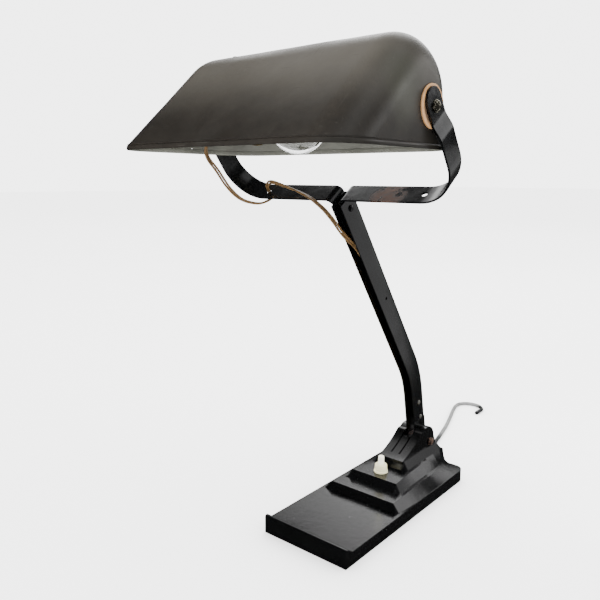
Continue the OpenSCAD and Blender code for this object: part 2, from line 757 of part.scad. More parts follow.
// ---- twin flex ----
// It leaves the lamp holder, hangs out of the hood in one loop, comes up through the left strip's
// hole, lies along the strip, drops into the arm's channel and goes into the base at the hinge.
flex_r = flex_d / 2;
loop_start = [-121, lamp_at[0] + 6, 487];
strip_low = yoke_at - 9 * lean_up(yoke_lean);
arm_end_up = 40;
flex_x = 3;
function beside_arm(up, off) = let (p = arm_foot + up * lean_up(lean_low) + off * lean_back(lean_low))
    [flex_x, p[0], p[1]];
function beside_high(up, off) = let (p = bend_end + up * lean_up(lean_high) + off * lean_back(lean_high))
    [flex_x, p[0], p[1]];
// A point in the middle of the arm's bend.
function in_bend(off) = let (p = bend_centre + (bend_r + off) * lean_back((lean_low + lean_high) / 2))
    [flex_x, p[0], p[1]];
// A point on the flex near the yoke's middle: up from the strips, and off to the rear.
function by_yoke(x, up, off) = let (p = yoke_at + up * lean_up(yoke_lean) + off * lean_back(yoke_lean))
    [x, p[0], p[1]];
head_route = [
    [socket_back - bracket_t - 0.1, lamp_at[0], lamp_at[1]], [-92, -127, 508.5], [-102, -126, 505],
    [-112, -124.5, 498], loop_start
];
loop_route = [
    [-125, -113, 477], [-130, -95, 464], [-135, -72, 444], [-134, -53, 430], [-127, -39, 424],
    [-118, -27, 423.5], [-flex_hole_x, strip_low[0], strip_low[1]], by_yoke(-flex_hole_x, 0, 0)
];
arm_route = [
    by_yoke(-flex_hole_x + 1, 8, 0), by_yoke(-107, 14, 1), by_yoke(-96, 14.5, 0),
    by_yoke(-79, 11.5, -3), by_yoke(-60, 8, -7), by_yoke(-43, 4.5, -11.5), by_yoke(-32, 3, -15.8),
    by_yoke(-23, -3, -18), by_yoke(-16, -13, -18.3), by_yoke(-10, -28, -18.4),
    by_yoke(-5, -46, -18.2), by_yoke(-1, -62, -15.5), by_yoke(0, -78, -10),
    beside_high(185, -5), beside_high(130, -5), beside_high(70, -5), beside_high(10, -5), in_bend(-5),
    beside_arm(74, -5), beside_arm(56, -5), beside_arm(arm_end_up, -5)
];
foot_route = [
    [2.2, 185.2, 88], [1.6, 186, 82], [1.5, 186, 76], [1.5, 186, 60],
    [1.5, flex_hole_at[0], flex_hole_at[1]]
];
flex_route = concat(head_route, loop_route, arm_route, foot_route);
head_end = len(head_route) - 1;
loop_end = head_end + len(loop_route);
arm_end = loop_end + len(arm_route);
module flex(from, to) { color("#a5783c") tube(flex_route, flex_r, 3, 8, from, to); }
module flex_head() { flex(0, head_end); }
module flex_loop() { flex(head_end, loop_end); }
module flex_arm() { flex(loop_end, arm_end); }
module flex_foot() { flex(arm_end, len(flex_route) - 1); }

base_casting();
bottom_cover();
felt_pad();
cover_screws();
switch_body();
switch_collar();
switch_button();
switch_spring();
terminal_block();
cord_grommet();
mains_cord();
cord_end_sleeve();
hinge_bolt();
hinge_nut();
hinge_washers();
arm_channel();
arm_filler();
arm_screws();
yoke_strip_left();
yoke_strip_right();
yoke_bolt();
yoke_spacer();
yoke_nut();
shade_shell();
fibre_washers();
pivot_bolts();
pivot_cup_washers();
pivot_nuts();
socket_bracket();
bracket_screws();
socket_shell();
socket_ring();
socket_core();
bulb_glass();
bulb_cap();
bulb_mount();
flex_head();
flex_loop();
flex_arm();
flex_foot();
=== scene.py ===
from math import cos, pi, radians, sin, sqrt, tan

import bmesh
import bpy
from mathutils import Matrix, Vector, geometry, noise


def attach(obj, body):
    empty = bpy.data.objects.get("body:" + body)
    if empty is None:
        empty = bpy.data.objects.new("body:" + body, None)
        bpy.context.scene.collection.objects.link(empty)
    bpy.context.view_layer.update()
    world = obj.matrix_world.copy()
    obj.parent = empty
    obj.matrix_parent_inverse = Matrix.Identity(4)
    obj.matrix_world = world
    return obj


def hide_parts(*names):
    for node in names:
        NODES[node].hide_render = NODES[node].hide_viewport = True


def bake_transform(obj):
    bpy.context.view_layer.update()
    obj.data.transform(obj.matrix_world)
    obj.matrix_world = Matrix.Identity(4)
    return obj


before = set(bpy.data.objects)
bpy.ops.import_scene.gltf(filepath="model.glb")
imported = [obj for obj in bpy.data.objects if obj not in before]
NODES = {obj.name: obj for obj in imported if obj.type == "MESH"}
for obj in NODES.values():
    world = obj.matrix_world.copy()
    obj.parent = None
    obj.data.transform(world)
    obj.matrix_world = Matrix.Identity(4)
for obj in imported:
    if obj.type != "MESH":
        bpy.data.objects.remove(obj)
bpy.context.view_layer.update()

MM = 0.001


# ---------------- materials

class Mat:
    """A procedural material, with short names for its nodes."""

    def __init__(self, name):
        self.mat = bpy.data.materials.new(name)
        self.mat.use_nodes = True
        self.tree = self.mat.node_tree
        self.tree.nodes.clear()
        self.out = self.node("OutputMaterial")
        self.bsdf = self.node("BsdfPrincipled")
        self.tree.links.new(self.bsdf.outputs[0], self.out.inputs[0])
        self.co = self.node("TexCoord").outputs["Object"]
        self.height = None

    def node(self, kind):
        return self.tree.nodes.new("ShaderNode" + kind)

    def put(self, socket, value):
        if isinstance(value, bpy.types.NodeSocket):
            self.tree.links.new(value, socket)
        elif isinstance(value, (tuple, list)) and len(value) == 3 and len(socket.default_value) == 4:
            socket.default_value = (*value, 1)
        else:
            socket.default_value = value

    def set(self, **values):
        names = {"color": "Base Color", "rough": "Roughness", "metal": "Metallic", "ior": "IOR",
                 "trans": "Transmission Weight", "spec": "Specular IOR Level", "sheen": "Sheen Weight"}
        for k, v in values.items():
            self.put(self.bsdf.inputs[names[k]], v)
        return self

    def at(self, scale=(1, 1, 1), rotate=(0, 0, 0)):
        """The object's own coordinates, stretched and turned."""
        m = self.node("Mapping")
        self.put(m.inputs["Vector"], self.co)
        m.inputs["Scale"].default_value = scale
        m.inputs["Rotation"].default_value = rotate
        return m.outputs[0]

    def noise(self, scale, detail=4, rough=0.55, where=None, distort=0.0):
        t = self.node("TexNoise")
        self.put(t.inputs["Vector"], where or self.co)
        t.inputs["Scale"].default_value = scale
        t.inputs["Detail"].default_value = detail
        t.inputs["Roughness"].default_value = rough
        t.inputs["Distortion"].default_value = distort
        return t.outputs["Fac"]

    def cells(self, scale):
        t = self.node("TexVoronoi")
        self.put(t.inputs["Vector"], self.co)
        t.inputs["Scale"].default_value = scale
        return t.outputs["Distance"]

    def wave(self, scale, where, distort):
        t = self.node("TexWave")
        self.put(t.inputs["Vector"], where)
        t.inputs["Scale"].default_value = scale
        t.inputs["Distortion"].default_value = distort
        return t.outputs["Fac"]

    def axis(self, i):
        s = self.node("SeparateXYZ")
        self.put(s.inputs[0], self.co)
        return s.outputs[i]

    def distance(self, point):
        """How far a place is from a point given in mm, in metres."""
        d = self.node("VectorMath")
        d.operation = "DISTANCE"
        self.put(d.inputs[0], self.co)
        d.inputs[1].default_value = [v * MM for v in point]
        return d.outputs["Value"]

    def math(self, op, a, b=0.0, clamp=False):
        m = self.node("Math")
        m.operation = op
        m.use_clamp = clamp
        self.put(m.inputs[0], a)
        self.put(m.inputs[1], b)
        return m.outputs[0]

    def line(self, x, lo, hi, a=0.0, b=1.0, kind="LINEAR"):
        """x from lo to hi, mapped to a to b."""
        m = self.node("MapRange")
        m.interpolation_type = kind
        self.put(m.inputs[0], x)
        for i, v in enumerate((lo, hi, a, b)):
            m.inputs[i + 1].default_value = v
        return m.outputs[0]

    def band(self, x, lo, hi, a=0.0, b=1.0):
        """The same with soft ends."""
        return self.line(x, lo, hi, a, b, "SMOOTHSTEP")

    def mix(self, fac, a, b):
        m = self.node("Mix")
        m.data_type = "RGBA"
        self.put(m.inputs[0], fac)
        self.put(m.inputs[6], a)
        self.put(m.inputs[7], b)
        return m.outputs[2]

    def mul(self, *xs):
        out = xs[0]
        for x in xs[1:]:
            out = self.math("MULTIPLY", out, x)
        return out

    def bump(self, height, strength, distance):
        """Relief on top of the relief so far; distance is its depth in metres."""
        b = self.node("Bump")
        b.inputs["Strength"].default_value = strength
        b.inputs["Distance"].default_value = distance
        self.put(b.inputs["Height"], height)
        if self.height is not None:
            self.put(b.inputs["Normal"], self.height)
        self.height = b.outputs[0]
        self.tree.links.new(self.height, self.bsdf.inputs["Normal"])
        return self


def enamel(name, wear, rust=None):
    """Black stoving enamel: glossy, slightly orange-peeled, dusty, with small chips.
    rust is the centre and the radius of one rusty patch, in mm."""
    m = Mat(name)
    dust = m.band(m.noise(420, 3, 0.7), 0.60, 0.78)
    cloud = m.band(m.noise(14, 5, 0.6), 0.35, 0.75)
    rub = m.mul(m.band(m.noise(55, 6, 0.7), 0.60, 0.72), m.band(m.noise(11, 3), 0.5, 0.62))
    where = m.band(m.noise(26, 3), 0.50 - 0.06 * wear, 0.60)
    chip = m.mul(m.band(m.noise(210, 4, 0.75), 0.67, 0.70), where)
    color = m.mix(m.mul(cloud, 0.5), (0.0006, 0.0007, 0.0008), (0.00156, 0.00182, 0.00208))
    color = m.mix(m.mul(dust, 0.015), color, (0.04, 0.04, 0.038))
    color = m.mix(m.mul(rub, 0.08 * wear), color, (0.02, 0.019, 0.018))
    color = m.mix(m.mul(chip, 0.3 * wear), color, (0.014, 0.010, 0.008))
    rough = m.line(m.noise(30, 5), 0.3, 0.7, 0.13, 0.27)
    if rust:
        centre, radius = rust
        spot = m.band(m.distance(centre), radius * MM, radius * 0.45 * MM)
        patch = m.mul(spot, m.band(m.noise(75, 5, 0.6), 0.40, 0.58))
        brown = m.mix(m.noise(260), (0.035, 0.012, 0.006), (0.085, 0.04, 0.022))
        color = m.mix(m.mul(patch, 0.85), color, brown)
        rough = m.math("ADD", m.mul(patch, 0.4), rough)
    rough = m.math("ADD", rough, m.mul(chip, 0.12), clamp=True)
    rough = m.math("ADD", rough, m.mul(dust, 0.05), clamp=True)
    m.set(color=color, rough=rough, spec=0.42)
    m.bump(m.noise(130, 2), 0.18, 0.0006)
    m.bump(m.noise(900, 2), 0.06, 0.0001)
    m.bump(m.math("SUBTRACT", 1.0, chip), 0.12, 0.0002)
    return m.mat


def steel(name, color, rough, rust):
    """Bare metal with fine grain and rust spots: rust goes from 0, clean, to 1."""
    m = Mat(name)
    fine = m.noise(600, 4, 0.6)
    spots = m.band(m.noise(300, 5, 0.7), 0.62 - 0.25 * rust, 0.72 - 0.15 * rust)
    c = m.mix(fine, tuple(v * 0.75 for v in color), tuple(min(v * 1.2, 1) for v in color))
    brown = m.mix(m.noise(900), (0.05, 0.025, 0.015), (0.16, 0.075, 0.035))
    c = m.mix(m.mul(spots, 0.35 + 0.6 * rust), c, brown)
    grain = m.line(fine, 0.3, 0.7, rough * 0.75, rough * 1.25)
    m.set(color=c, metal=m.math("SUBTRACT", 1.0, m.mul(spots, 0.3 + 0.7 * rust)),
          rough=m.math("ADD", grain, m.mul(spots, 0.35), clamp=True))
    m.bump(fine, 0.25, 0.0001)
    m.bump(spots, 0.3, 0.0002)
    return m.mat


def moulding(name, color, rough=0.28, dirt=0.35):
    """Old ivory plastic: waxy, slightly mottled, with dirt in its pores."""
    m = Mat(name)
    grime = m.band(m.noise(240, 5, 0.7), 0.55, 0.75)
    c = m.mix(m.noise(70, 4), tuple(v * 0.86 for v in color), color)
    c = m.mix(m.mul(grime, dirt), c, tuple(v * f for v, f in zip(color, (0.45, 0.38, 0.28))))
    m.set(color=c, rough=m.line(m.noise(160, 4), 0.3, 0.7, rough * 0.8, rough * 1.4))
    m.bump(m.noise(500, 3), 0.15, 0.0001)
    return m.mat


def rubber(name, color, rough=0.55):
    """Matt rubber or tape with a fine skin."""
    m = Mat(name)
    c = m.mix(m.noise(180, 5), tuple(v * 0.7 for v in color), tuple(v * 1.25 for v in color))
    m.set(color=c, rough=m.line(m.noise(400, 3), 0.3, 0.7, rough * 0.85, rough * 1.15))
    m.bump(m.noise(1200, 3), 0.3, 0.00008)
    return m.mat


def braid(name):
    """Gold-brown cotton braid over a core: fine crossing threads."""
    m = Mat(name)
    one_way, other_way = (m.wave(900, m.at(rotate=r), 1.5) for r in ((0.6, 0.5, 0.7), (-0.7, 0.9, -0.5)))
    weave = m.math("MAXIMUM", one_way, other_way)
    c = m.mix(weave, (0.014, 0.007, 0.002), (0.11, 0.058, 0.016))
    c = m.mix(m.band(m.noise(60, 4), 0.45, 0.7, 0, 0.55), c, (0.045, 0.024, 0.008))
    c = m.mix(m.band(m.noise(1500, 2), 0.6, 0.75, 0, 0.5), c, (0.30, 0.19, 0.07))
    m.set(color=c, rough=0.36, sheen=0.03)
    m.bump(weave, 0.5, 0.0002)
    return m.mat


CLOUD_AT = (-128, 540)


def shade_outer():
    """Dark bronze-grey lacquer on sheet metal: satin, clouded with age, finely scratched, with a painted
    sheen toward the crown and painted shade on the end caps.
    """
    m = Mat("shade_lacquer")
    x, z = m.axis(0), m.axis(2)
    cloud = m.band(m.noise(9, 5, 0.62, distort=0.6), 0.34, 0.68)
    blot = m.band(m.noise(23, 6, 0.68), 0.42, 0.66)
    fine = m.noise(170, 6, 0.7)
    c = m.mix(cloud, (0.0155, 0.0125, 0.0094), (0.0238, 0.0203, 0.0155))
    c = m.mix(m.mul(blot, 0.4), c, (0.029, 0.0235, 0.0180))
    c = m.mix(m.line(fine, 0.35, 0.65, 0.0, 0.35), c, (0.0115, 0.0097, 0.0080))
    # painted sheen: the lacquer is made paler and greener toward the crown, where the hood catches the light
    high = m.band(m.math("ADD", z, m.mul(m.noise(12, 4), 0.03)), 0.515, 0.592)
    c = m.mix(m.mul(high, 0.75), c, (0.080, 0.073, 0.060))
    # painted shade: the end caps, which face away from the light, are made darker, with faint upright
    # streaks and one greenish cloud
    cap = m.band(m.math("ABSOLUTE", x), 0.118, 0.146)
    streak = m.noise(60, 5, 0.7, m.at((1, 1, 0.05)))
    c = m.mix(m.mul(cap, 0.50), c, m.mix(streak, (0.0035, 0.0033, 0.003), (0.013, 0.012, 0.010)))
    y = m.math("SUBTRACT", m.axis(1), CLOUD_AT[0] * MM)
    h = m.math("SUBTRACT", z, CLOUD_AT[1] * MM)
    reach = m.math("SQRT", m.math("ADD", m.mul(y, y), m.mul(h, h, 0.6)))
    green = m.band(m.math("ADD", reach, m.mul(m.noise(26, 5), 0.03)), 0.052, 0.022)
    c = m.mix(m.mul(green, cap, 0.65), c, (0.027, 0.028, 0.020))
    # hair scratches and specks
    upright = m.band(m.noise(90, 2, 0.5, m.at((7, 0.35, 0.35), (0.35, 0.2, 0.5)), 0.4), 0.70, 0.73)
    level = m.band(m.noise(80, 2, 0.5, m.at((0.35, 6, 6), (-0.25, 0.3, 0.15)), 0.4), 0.70, 0.73)
    marks = m.math("MAXIMUM", upright, level)
    c = m.mix(m.mul(marks, 0.2), c, (0.09, 0.085, 0.07))
    speck = m.mul(m.band(m.cells(150), 0.10, 0.05), m.band(m.noise(30), 0.52, 0.6))
    c = m.mix(m.mul(speck, 0.5), c, (0.004, 0.0035, 0.003))
    rough = m.line(m.math("ADD", m.mul(cloud, 0.5), m.mul(m.noise(45, 6, 0.7), 0.5)), 0.2, 0.8, 0.34, 0.48)
    rough = m.math("ADD", rough, m.mul(marks, 0.15))
    m.set(color=c, rough=rough, metal=0.3, spec=0.5)
    m.bump(m.noise(7, 3), 0.25, 0.004)
    m.bump(fine, 0.10, 0.0003)
    m.bump(marks, 0.12, 0.0001)
    return m.mat


def shade_inner():
    """The hood's inside: paler grey-green paint with heat marks."""
    m = Mat("shade_inside")
    c = m.mix(m.band(m.noise(12, 5), 0.35, 0.7), (0.055, 0.056, 0.045), (0.10, 0.10, 0.083))
    c = m.mix(m.band(m.noise(140, 5, 0.7), 0.58, 0.72, 0, 0.5), c, (0.04, 0.036, 0.027))
    m.set(color=c, rough=m.line(m.noise(40), 0.3, 0.7, 0.42, 0.6))
    m.bump(m.noise(300, 4), 0.15, 0.0002)
    return m.mat


def fibre():
    """Tan vulcanised fibre, darker near the bolt."""
    m = Mat("fibre")
    y = m.math("SUBTRACT", m.axis(1), PIVOT.x * MM)
    z = m.math("SUBTRACT", m.axis(2), PIVOT.y * MM)
    r = m.math("SQRT", m.math("ADD", m.mul(y, y), m.mul(z, z)))
    c = m.mix(m.noise(200, 5), (0.19, 0.095, 0.034), (0.32, 0.175, 0.070))
    c = m.mix(m.band(m.noise(70, 4), 0.5, 0.7, 0, 0.5), c, (0.20, 0.09, 0.035))
    dark = m.band(m.math("ADD", r, m.mul(m.noise(120), 0.003)), 0.0205, 0.0175)
    c = m.mix(m.mul(dark, 0.85), c, (0.035, 0.022, 0.014))
    m.set(color=c, rough=m.line(m.noise(300), 0.3, 0.7, 0.45, 0.65))
    m.bump(m.noise(700, 4), 0.3, 0.0001)
    return m.mat


def glass(name="bulb_glass"):
    """Clear glass with a faint film of dust."""
    m = Mat(name)
    film = m.band(m.noise(25, 4, 0.6), 0.5, 0.8)
    m.set(color=m.mix(film, (0.995, 1.0, 0.998), (0.96, 0.985, 0.98)), trans=1.0, ior=1.45,
          rough=m.line(film, 0.0, 1.0, 0.0, 0.006), spec=0.7)
    return m.mat


# ---------------- sizes, as in the CAD (mm)

# Points in the side view are (y, z), and leans are degrees toward the front.

def up(lean):
    """The way along a part that leans by this angle."""
    return Vector((-sin(radians(lean)), cos(radians(lean))))


def back(lean):
    """The way square to it, toward the rear."""
    return Vector((cos(radians(lean)), sin(radians(lean))))


BASE_FRONT, BASE_REAR, BASE_HALF = -82.0, 230.0, 65.0
PLATE_H, STEP_1, STEP_2, STEP_3 = 18.0, 29.2, 41.0, 52.0
CORNER_R = 14.0
CORNER_X, CORNER_Y = BASE_HALF - CORNER_R, BASE_REAR - CORNER_R
SWITCH_Y = 93.0

LOW, HIGH, LEAN = 11.5, 35.2, 36.0      # the lower arm, the upper arm and the yoke
HINGE = Vector((200.8, 58.5))
FOOT = HINGE - 6 * back(LOW)
LOW_LEN, HIGH_LEN, BEND_R = 84.0, 278.7, 140.0
BEND_START = FOOT + LOW_LEN * up(LOW)
BEND_C = BEND_START - BEND_R * back(LOW)
BEND_END = BEND_C + BEND_R * back(HIGH)
ARM_W, ARM_D, ARM_T = 14.8, 31.0, 1.6
WEB_FROM, ARM_HEAD = 38.0, 13.5
ARM_SCREWS = [FOOT + 42 * up(LOW) + 2 * back(LOW), FOOT + 67 * up(LOW) + 0.5 * back(LOW)]

STRIP_T, YOKE_HALF, YOKE_R, PIVOT_UP = 2.4, 160.4, 45.0, 105.0
HALF_STRIP = 14.0
JOGGLE = 4.3                            # the eyes step in from the strips by this
FLEX_HOLE_X, FLEX_HOLE_R = 114.0, 3.7
YOKE_BOLT = BEND_END + HIGH_LEN * up(HIGH)
YOKE_AT = YOKE_BOLT + 22 * up(LEAN)
PIVOT = YOKE_AT + PIVOT_UP * up(LEAN)
LAMP = Vector((-127, 509))
TO_RIGHT, TO_REAR, UPWARD = (1, 0, 0), (0, 1, 0), (0, 0, 1)


# ---------------- mesh helpers

def new_object(name, data):
    ob = bpy.data.objects.new(name, data)
    bpy.context.scene.collection.objects.link(ob)
    return ob


def new_mesh(name, verts, faces, mats, body=None, cad=None, slot=None, smooth=35, slots=None):
    """A mesh from points in mm. slots gives each face its material."""
    me = bpy.data.meshes.new(name)
    me.from_pydata([(v[0] * MM, v[1] * MM, v[2] * MM) for v in verts], [], faces)
    for mat in mats if isinstance(mats, (list, tuple)) else [mats]:
        me.materials.append(mat)
    if slots:
        me.polygons.foreach_set("material_index", slots)
    bm = bmesh.new()
    bm.from_mesh(me)
    bmesh.ops.remove_doubles(bm, verts=bm.verts, dist=2e-6)
    bmesh.ops.recalc_face_normals(bm, faces=bm.faces)
    bm.to_mesh(me)
    bm.free()
    ob = new_object(name, me)
    finish_mesh(ob, smooth)
    if body:
        place(ob, body, cad)
    return ob


def finish_mesh(ob, smooth=35, bevel=None):
    """Smooth shading up to an angle, and a bevel of (width, segments, from this angle)."""
    ob.data.shade_smooth()
    if smooth:
        ob.data.set_sharp_from_angle(angle=radians(smooth))
    if bevel:
        width, segments, angle = bevel
        m = ob.modifiers.new("edges", "BEVEL")
        m.width, m.segments = width * MM, segments
        m.limit_method = "ANGLE"
        m.angle_limit = radians(angle)
        m.harden_normals = True
        m.miter_outer = "MITER_ARC"


def place(ob, body, cad=None):
    """The body that a piece rides on, and the CAD node that it replaces."""
    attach(ob, body)
    if cad:
        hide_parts(cad)


def loft(rings):
    """A closed skin over rings with the same number of points."""
    n = len(rings[0])
    verts = [p for r in rings for p in r]
    faces = [(i * n + j, i * n + (j + 1) % n, (i + 1) * n + (j + 1) % n, (i + 1) * n + j)
             for i in range(len(rings) - 1) for j in range(n)]
    return verts, faces + [tuple(range(n)), tuple((len(rings) - 1) * n + j for j in range(n))]


def circle(centre, r, u, v, sides):
    """A ring of points in the plane of u and v."""
    turns = [2 * pi * j / sides for j in range(sides)]
    return [tuple(centre + r * (cos(a) * u + sin(a) * v)) for a in turns]


def lathe(profile, sides=64):
    """(radius, height) points turned about Z."""
    verts, faces, rows = [], [], []
    for r, h in profile:
        if r < 1e-6:
            rows.append([len(verts)])
            verts.append((0, 0, h))
        else:
            rows.append(list(range(len(verts), len(verts) + sides)))
            verts += [(r * cos(2 * pi * j / sides), r * sin(2 * pi * j / sides), h) for j in range(sides)]
    for a, b in zip(rows, rows[1:]):
        for j in range(sides):
            k = (j + 1) % sides
            if len(a) == 1 and len(b) == 1:
                continue
            if len(a) == 1:
                faces.append((a[0], b[j], b[k]))
            elif len(b) == 1:
                faces.append((a[j], a[k], b[0]))
            else:
                faces.append((a[j], a[k], b[k], b[j]))
    return verts, faces


def along(verts, axis, at):
    """Turns Z to another axis, and moves to a place."""
    q = Vector(UPWARD).rotation_difference(Vector(axis))
    return [tuple(q @ Vector(v) + Vector(at)) for v in verts]


def rounded(profile, r=0.4, n=3):
    """A profile with its corners rounded."""
    out = [profile[0]]
    for a, b, c in zip(profile, profile[1:], profile[2:]):
        a, b, c = Vector(a), Vector(b), Vector(c)
        u, v = a - b, c - b
        k = min(r, u.length * 0.45, v.length * 0.45)
        if k < 0.02:
            out.append(tuple(b))
            continue
        p, q = b + u.normalized() * k, b + v.normalized() * k
        for t in [i / n for i in range(n + 1)]:
            out.append(tuple((1 - t) ** 2 * p + 2 * t * (1 - t) * b + t * t * q))
    return out + [profile[-1]]


def turned(name, profile, mats, body, axis=UPWARD, at=(0, 0, 0), cad=None, slot=None, sides=64,
           round_r=0.3):
    """A turned piece, with its profile's corners rounded."""
    verts, faces = lathe(rounded(profile, round_r) if round_r else profile, sides)
    return new_mesh(name, along(verts, axis, at), faces, mats, body, cad, slot, smooth=40)


def boolean(ob, verts, faces, op="DIFFERENCE"):
    """Cuts a closed shape from a piece, or joins it on."""
    other = new_mesh("cutter", verts, faces, [], smooth=None)
    m = ob.modifiers.new("cut", "BOOLEAN")
    m.operation, m.object, m.solver = op, other, "EXACT"
    me = bpy.data.meshes.new_from_object(ob.evaluated_get(bpy.context.evaluated_depsgraph_get()))
    ob.modifiers.remove(m)
    ob.data = me
    bpy.data.objects.remove(other)


def prism(outline, x0, x1):
    """A YZ outline between two X planes."""
    return loft([[(x, y, z) for y, z in outline] for x in (x0, x1)])


def box_mesh(lo, hi):
    (x0, y0, z0), (x1, y1, z1) = lo, hi
    return loft([[(x0, y0, z), (x1, y0, z), (x1, y1, z), (x0, y1, z)] for z in (z0, z1)])


def cylinder(r, lo, hi, axis, at, sides):
    verts, faces = lathe([(0, lo), (r, lo), (r, hi), (0, hi)], sides)
    return along(verts, axis, at), faces


def smooth_path(p, k):
    """A curve through the points, with k steps from each to the next."""
    p = [Vector(v) for v in p]
    out = []
    for i in range(len(p) - 1):
        a, b, c, d = p[max(i - 1, 0)], p[i], p[i + 1], p[min(i + 2, len(p) - 1)]
        for j in range(k):
            t = j / k
            out.append(0.5 * ((2 * b) + (c - a) * t + (2 * a - 5 * b + 4 * c - d) * t * t
                              + (3 * b - a - 3 * c + d) * t ** 3))
    return out + [p[-1]]


def even(path, step):
    """Points at even steps along a path."""
    out, left = [path[0]], step
    for a, b in zip(path, path[1:]):
        length = (b - a).length
        while left < length:
            out.append(a.lerp(b, left / length))
            left += step
        left -= length
    out.append(path[-1])
    return out


def frames(path):
    """(tangent, two directions square to it) at each point."""
    n = Vector((0.31, 0.2, 1))
    out = []
    for i in range(len(path)):
        t = (path[min(i + 1, len(path) - 1)] - path[max(i - 1, 0)]).normalized()
        n = (n - n.dot(t) * t).normalized()
        out.append((t, n.copy(), t.cross(n)))
    return out


# ---------------- materials in use

black_base = enamel("enamel_base", 0.5, rust=((2, 186, 66), 17))
black_arm = enamel("enamel_arm", 0.6)
black_left = enamel("enamel_left", 0.5)
black_right = enamel("enamel_right", 0.7, rust=((70, -24, 441), 27))
ivory = moulding("ivory", (0.60, 0.56, 0.36))
ivory_light = moulding("ivory_light", (0.80, 0.78, 0.64), dirt=0.15)
dark_steel = steel("dark_steel", (0.16, 0.145, 0.12), 0.38, 0.25)
worn_steel = steel("worn_steel", (0.36, 0.35, 0.33), 0.42, 0.25)
bright_steel = steel("bright_steel", (0.55, 0.54, 0.50), 0.30, 0.1)
bolt_steel = steel("bolt_steel", (0.36, 0.34, 0.27), 0.26, 0.15)
rusty = steel("rusty_steel", (0.10, 0.075, 0.065), 0.5, 0.6)
brass = steel("aged_brass", (0.42, 0.30, 0.12), 0.35, 0.15)
gold_braid = braid("gold_braid")
black_rubber = rubber("black_rubber", (0.012, 0.012, 0.012))


def cord_material():
    """Grey sheath, with painted shadow that makes it nearly black where it leaves the lamp, and dark near
    its end.
    """
    m = Mat("mains_sheath")
    y = m.axis(1)
    c = m.mix(m.band(m.noise(60, 4), 0.3, 0.7), (0.11, 0.11, 0.108), (0.18, 0.18, 0.177))
    # painted shadow: nearly black near the lamp, where y is under about 0.34 m
    c = m.mix(m.band(m.math("ADD", y, m.mul(m.noise(30), 0.03)), 0.40, 0.34), c, (0.008, 0.008, 0.008))
    c = m.mix(m.band(m.noise(260, 4, 0.7), 0.6, 0.75, 0, 0.5), c, (0.03, 0.028, 0.026))
    c = m.mix(m.band(m.distance((-39, 514, 3)), 0.030, 0.024), c, (0.006, 0.006, 0.006))
    m.set(color=c, rough=m.line(m.noise(200), 0.3, 0.7, 0.38, 0.55))
    m.bump(m.noise(600, 3), 0.2, 0.0001)
    return m.mat


# ---------------- base

def base_section(y, half, steps, top=PLATE_H):
    """One ring of the base, square to Y: up its side, then the (x, z) steps to the middle, mirrored."""
    right = [(half, 0), (half, top)] + steps
    left = [(-x, z) for x, z in reversed(right)]
    return [(x, y, z) for x, z in right + left]


def rear_half(y):
    """Half of the base's width at the rounded rear corners."""
    return CORNER_X + sqrt(max(CORNER_R ** 2 - (y - CORNER_Y) ** 2, 0))


LIP = [(BASE_FRONT, 21, 0), (-81.9, 22.4, 0), (-81.1, 23.8, 0), (-79.6, 24.4, 0), (-77.6, 24.2, 0),
       (-75.6, 22.8, 0), (-73.6, 20.4, 0), (-71.4, 18.6, 0), (-69, PLATE_H, 0)]
FLAT_X = (60, 58, 43, 37, 28.5, 22)


def tier_sections():
    """(y, steps) where the three tiers rise: worn soft edges, a little lower and closer to the rear."""
    p, a, b, c = PLATE_H, STEP_1, STEP_2, STEP_3
    return [
        (44, [(60.8, p), (51.5, a), (44, a), (37, a), (28.5, a), (22, a)]),
        (67, [(62.6, p), (50.8, a - 0.1), (44.3, a), (37, a), (28.5, a), (22, a)]),
        (74, [(63, p), (50.3, a - 0.2), (43.8, a - 0.1), (37, b), (28.5, b), (22, b)]),
        (95, [(63.8, p), (49.5, 28.8), (43.4, 29.0), (35.3, b - 0.1), (28.6, b), (22, b)]),
        (115, [(64.2, p), (48.8, 28.5), (43, 28.8), (33.6, b - 0.3), (28.5, b), (21.4, b)]),
        (121, [(64.3, p), (48.6, 28.4), (42.9, 28.7), (33.3, b - 0.4), (28.3, b), (21.5, c)]),
        (148, [(64.3, p), (47.2, 27.5), (42.1, 28.0), (31.7, 40), (27.6, b - 0.2), (21.2, c)]),
        (175, [(64.3, p), (45.5, 26.2), (41, 27.0), (30.3, 39), (27, b - 0.3), (21, c)]),
        (198, [(64.3, p), (43.6, 23.4), (38.2, 25.4), (30.2, 36.2), (27.4, b - 0.7), (22, c)]),
        (215.5, [(64.3, p), (41.5, 20.8), (35.5, 23.5), (30.2, 33.5), (28.2, b - 1), (23, c)]),
    ]


def base_rings():
    """The base's rings from the lip to the rear."""
    rings = []
    for p in smooth_path(LIP, 4)[:-1]:
        rings.append(base_section(p.x, BASE_HALF, [(x, p.y) for x in FLAT_X], p.y))
    for y in (-69, 30, 39):
        rings.append(base_section(y, BASE_HALF, [(x, PLATE_H) for x in FLAT_X]))
    rings += [base_section(y, BASE_HALF, steps) for y, steps in tier_sections()]
    for y in (220, 224, 227, 228.2):
        half, k = rear_half(y), (y - 215.5) / 12.7
        rings.append(base_section(y, half, [
            (min(64.3, half - 0.8), PLATE_H), (41.5 - 1.5 * k, 20.8 - 2.5 * k),
            (35.5 - 2.5 * k, 23.5 - 1.5 * k), (30.2 - 0.2 * k, 33.5 - 3.5 * k),
            (28.4, STEP_2 - 1), (23, STEP_3 - 11 * k)]))
    low = [(x, PLATE_H) for x in (40, 33, 30, 28, 22)]
    rings.append(base_section(228.3, rear_half(228.3), [(rear_half(228.3) - 1.5, PLATE_H)] + low))
    for y in (229.2, 229.8):
        rings.append(base_section(y, rear_half(y), [(min(rear_half(y) - 0.4, 50), PLATE_H)] + low))
    return rings + [base_section(BASE_REAR, CORNER_X, [(50.5, PLATE_H)] + low)]


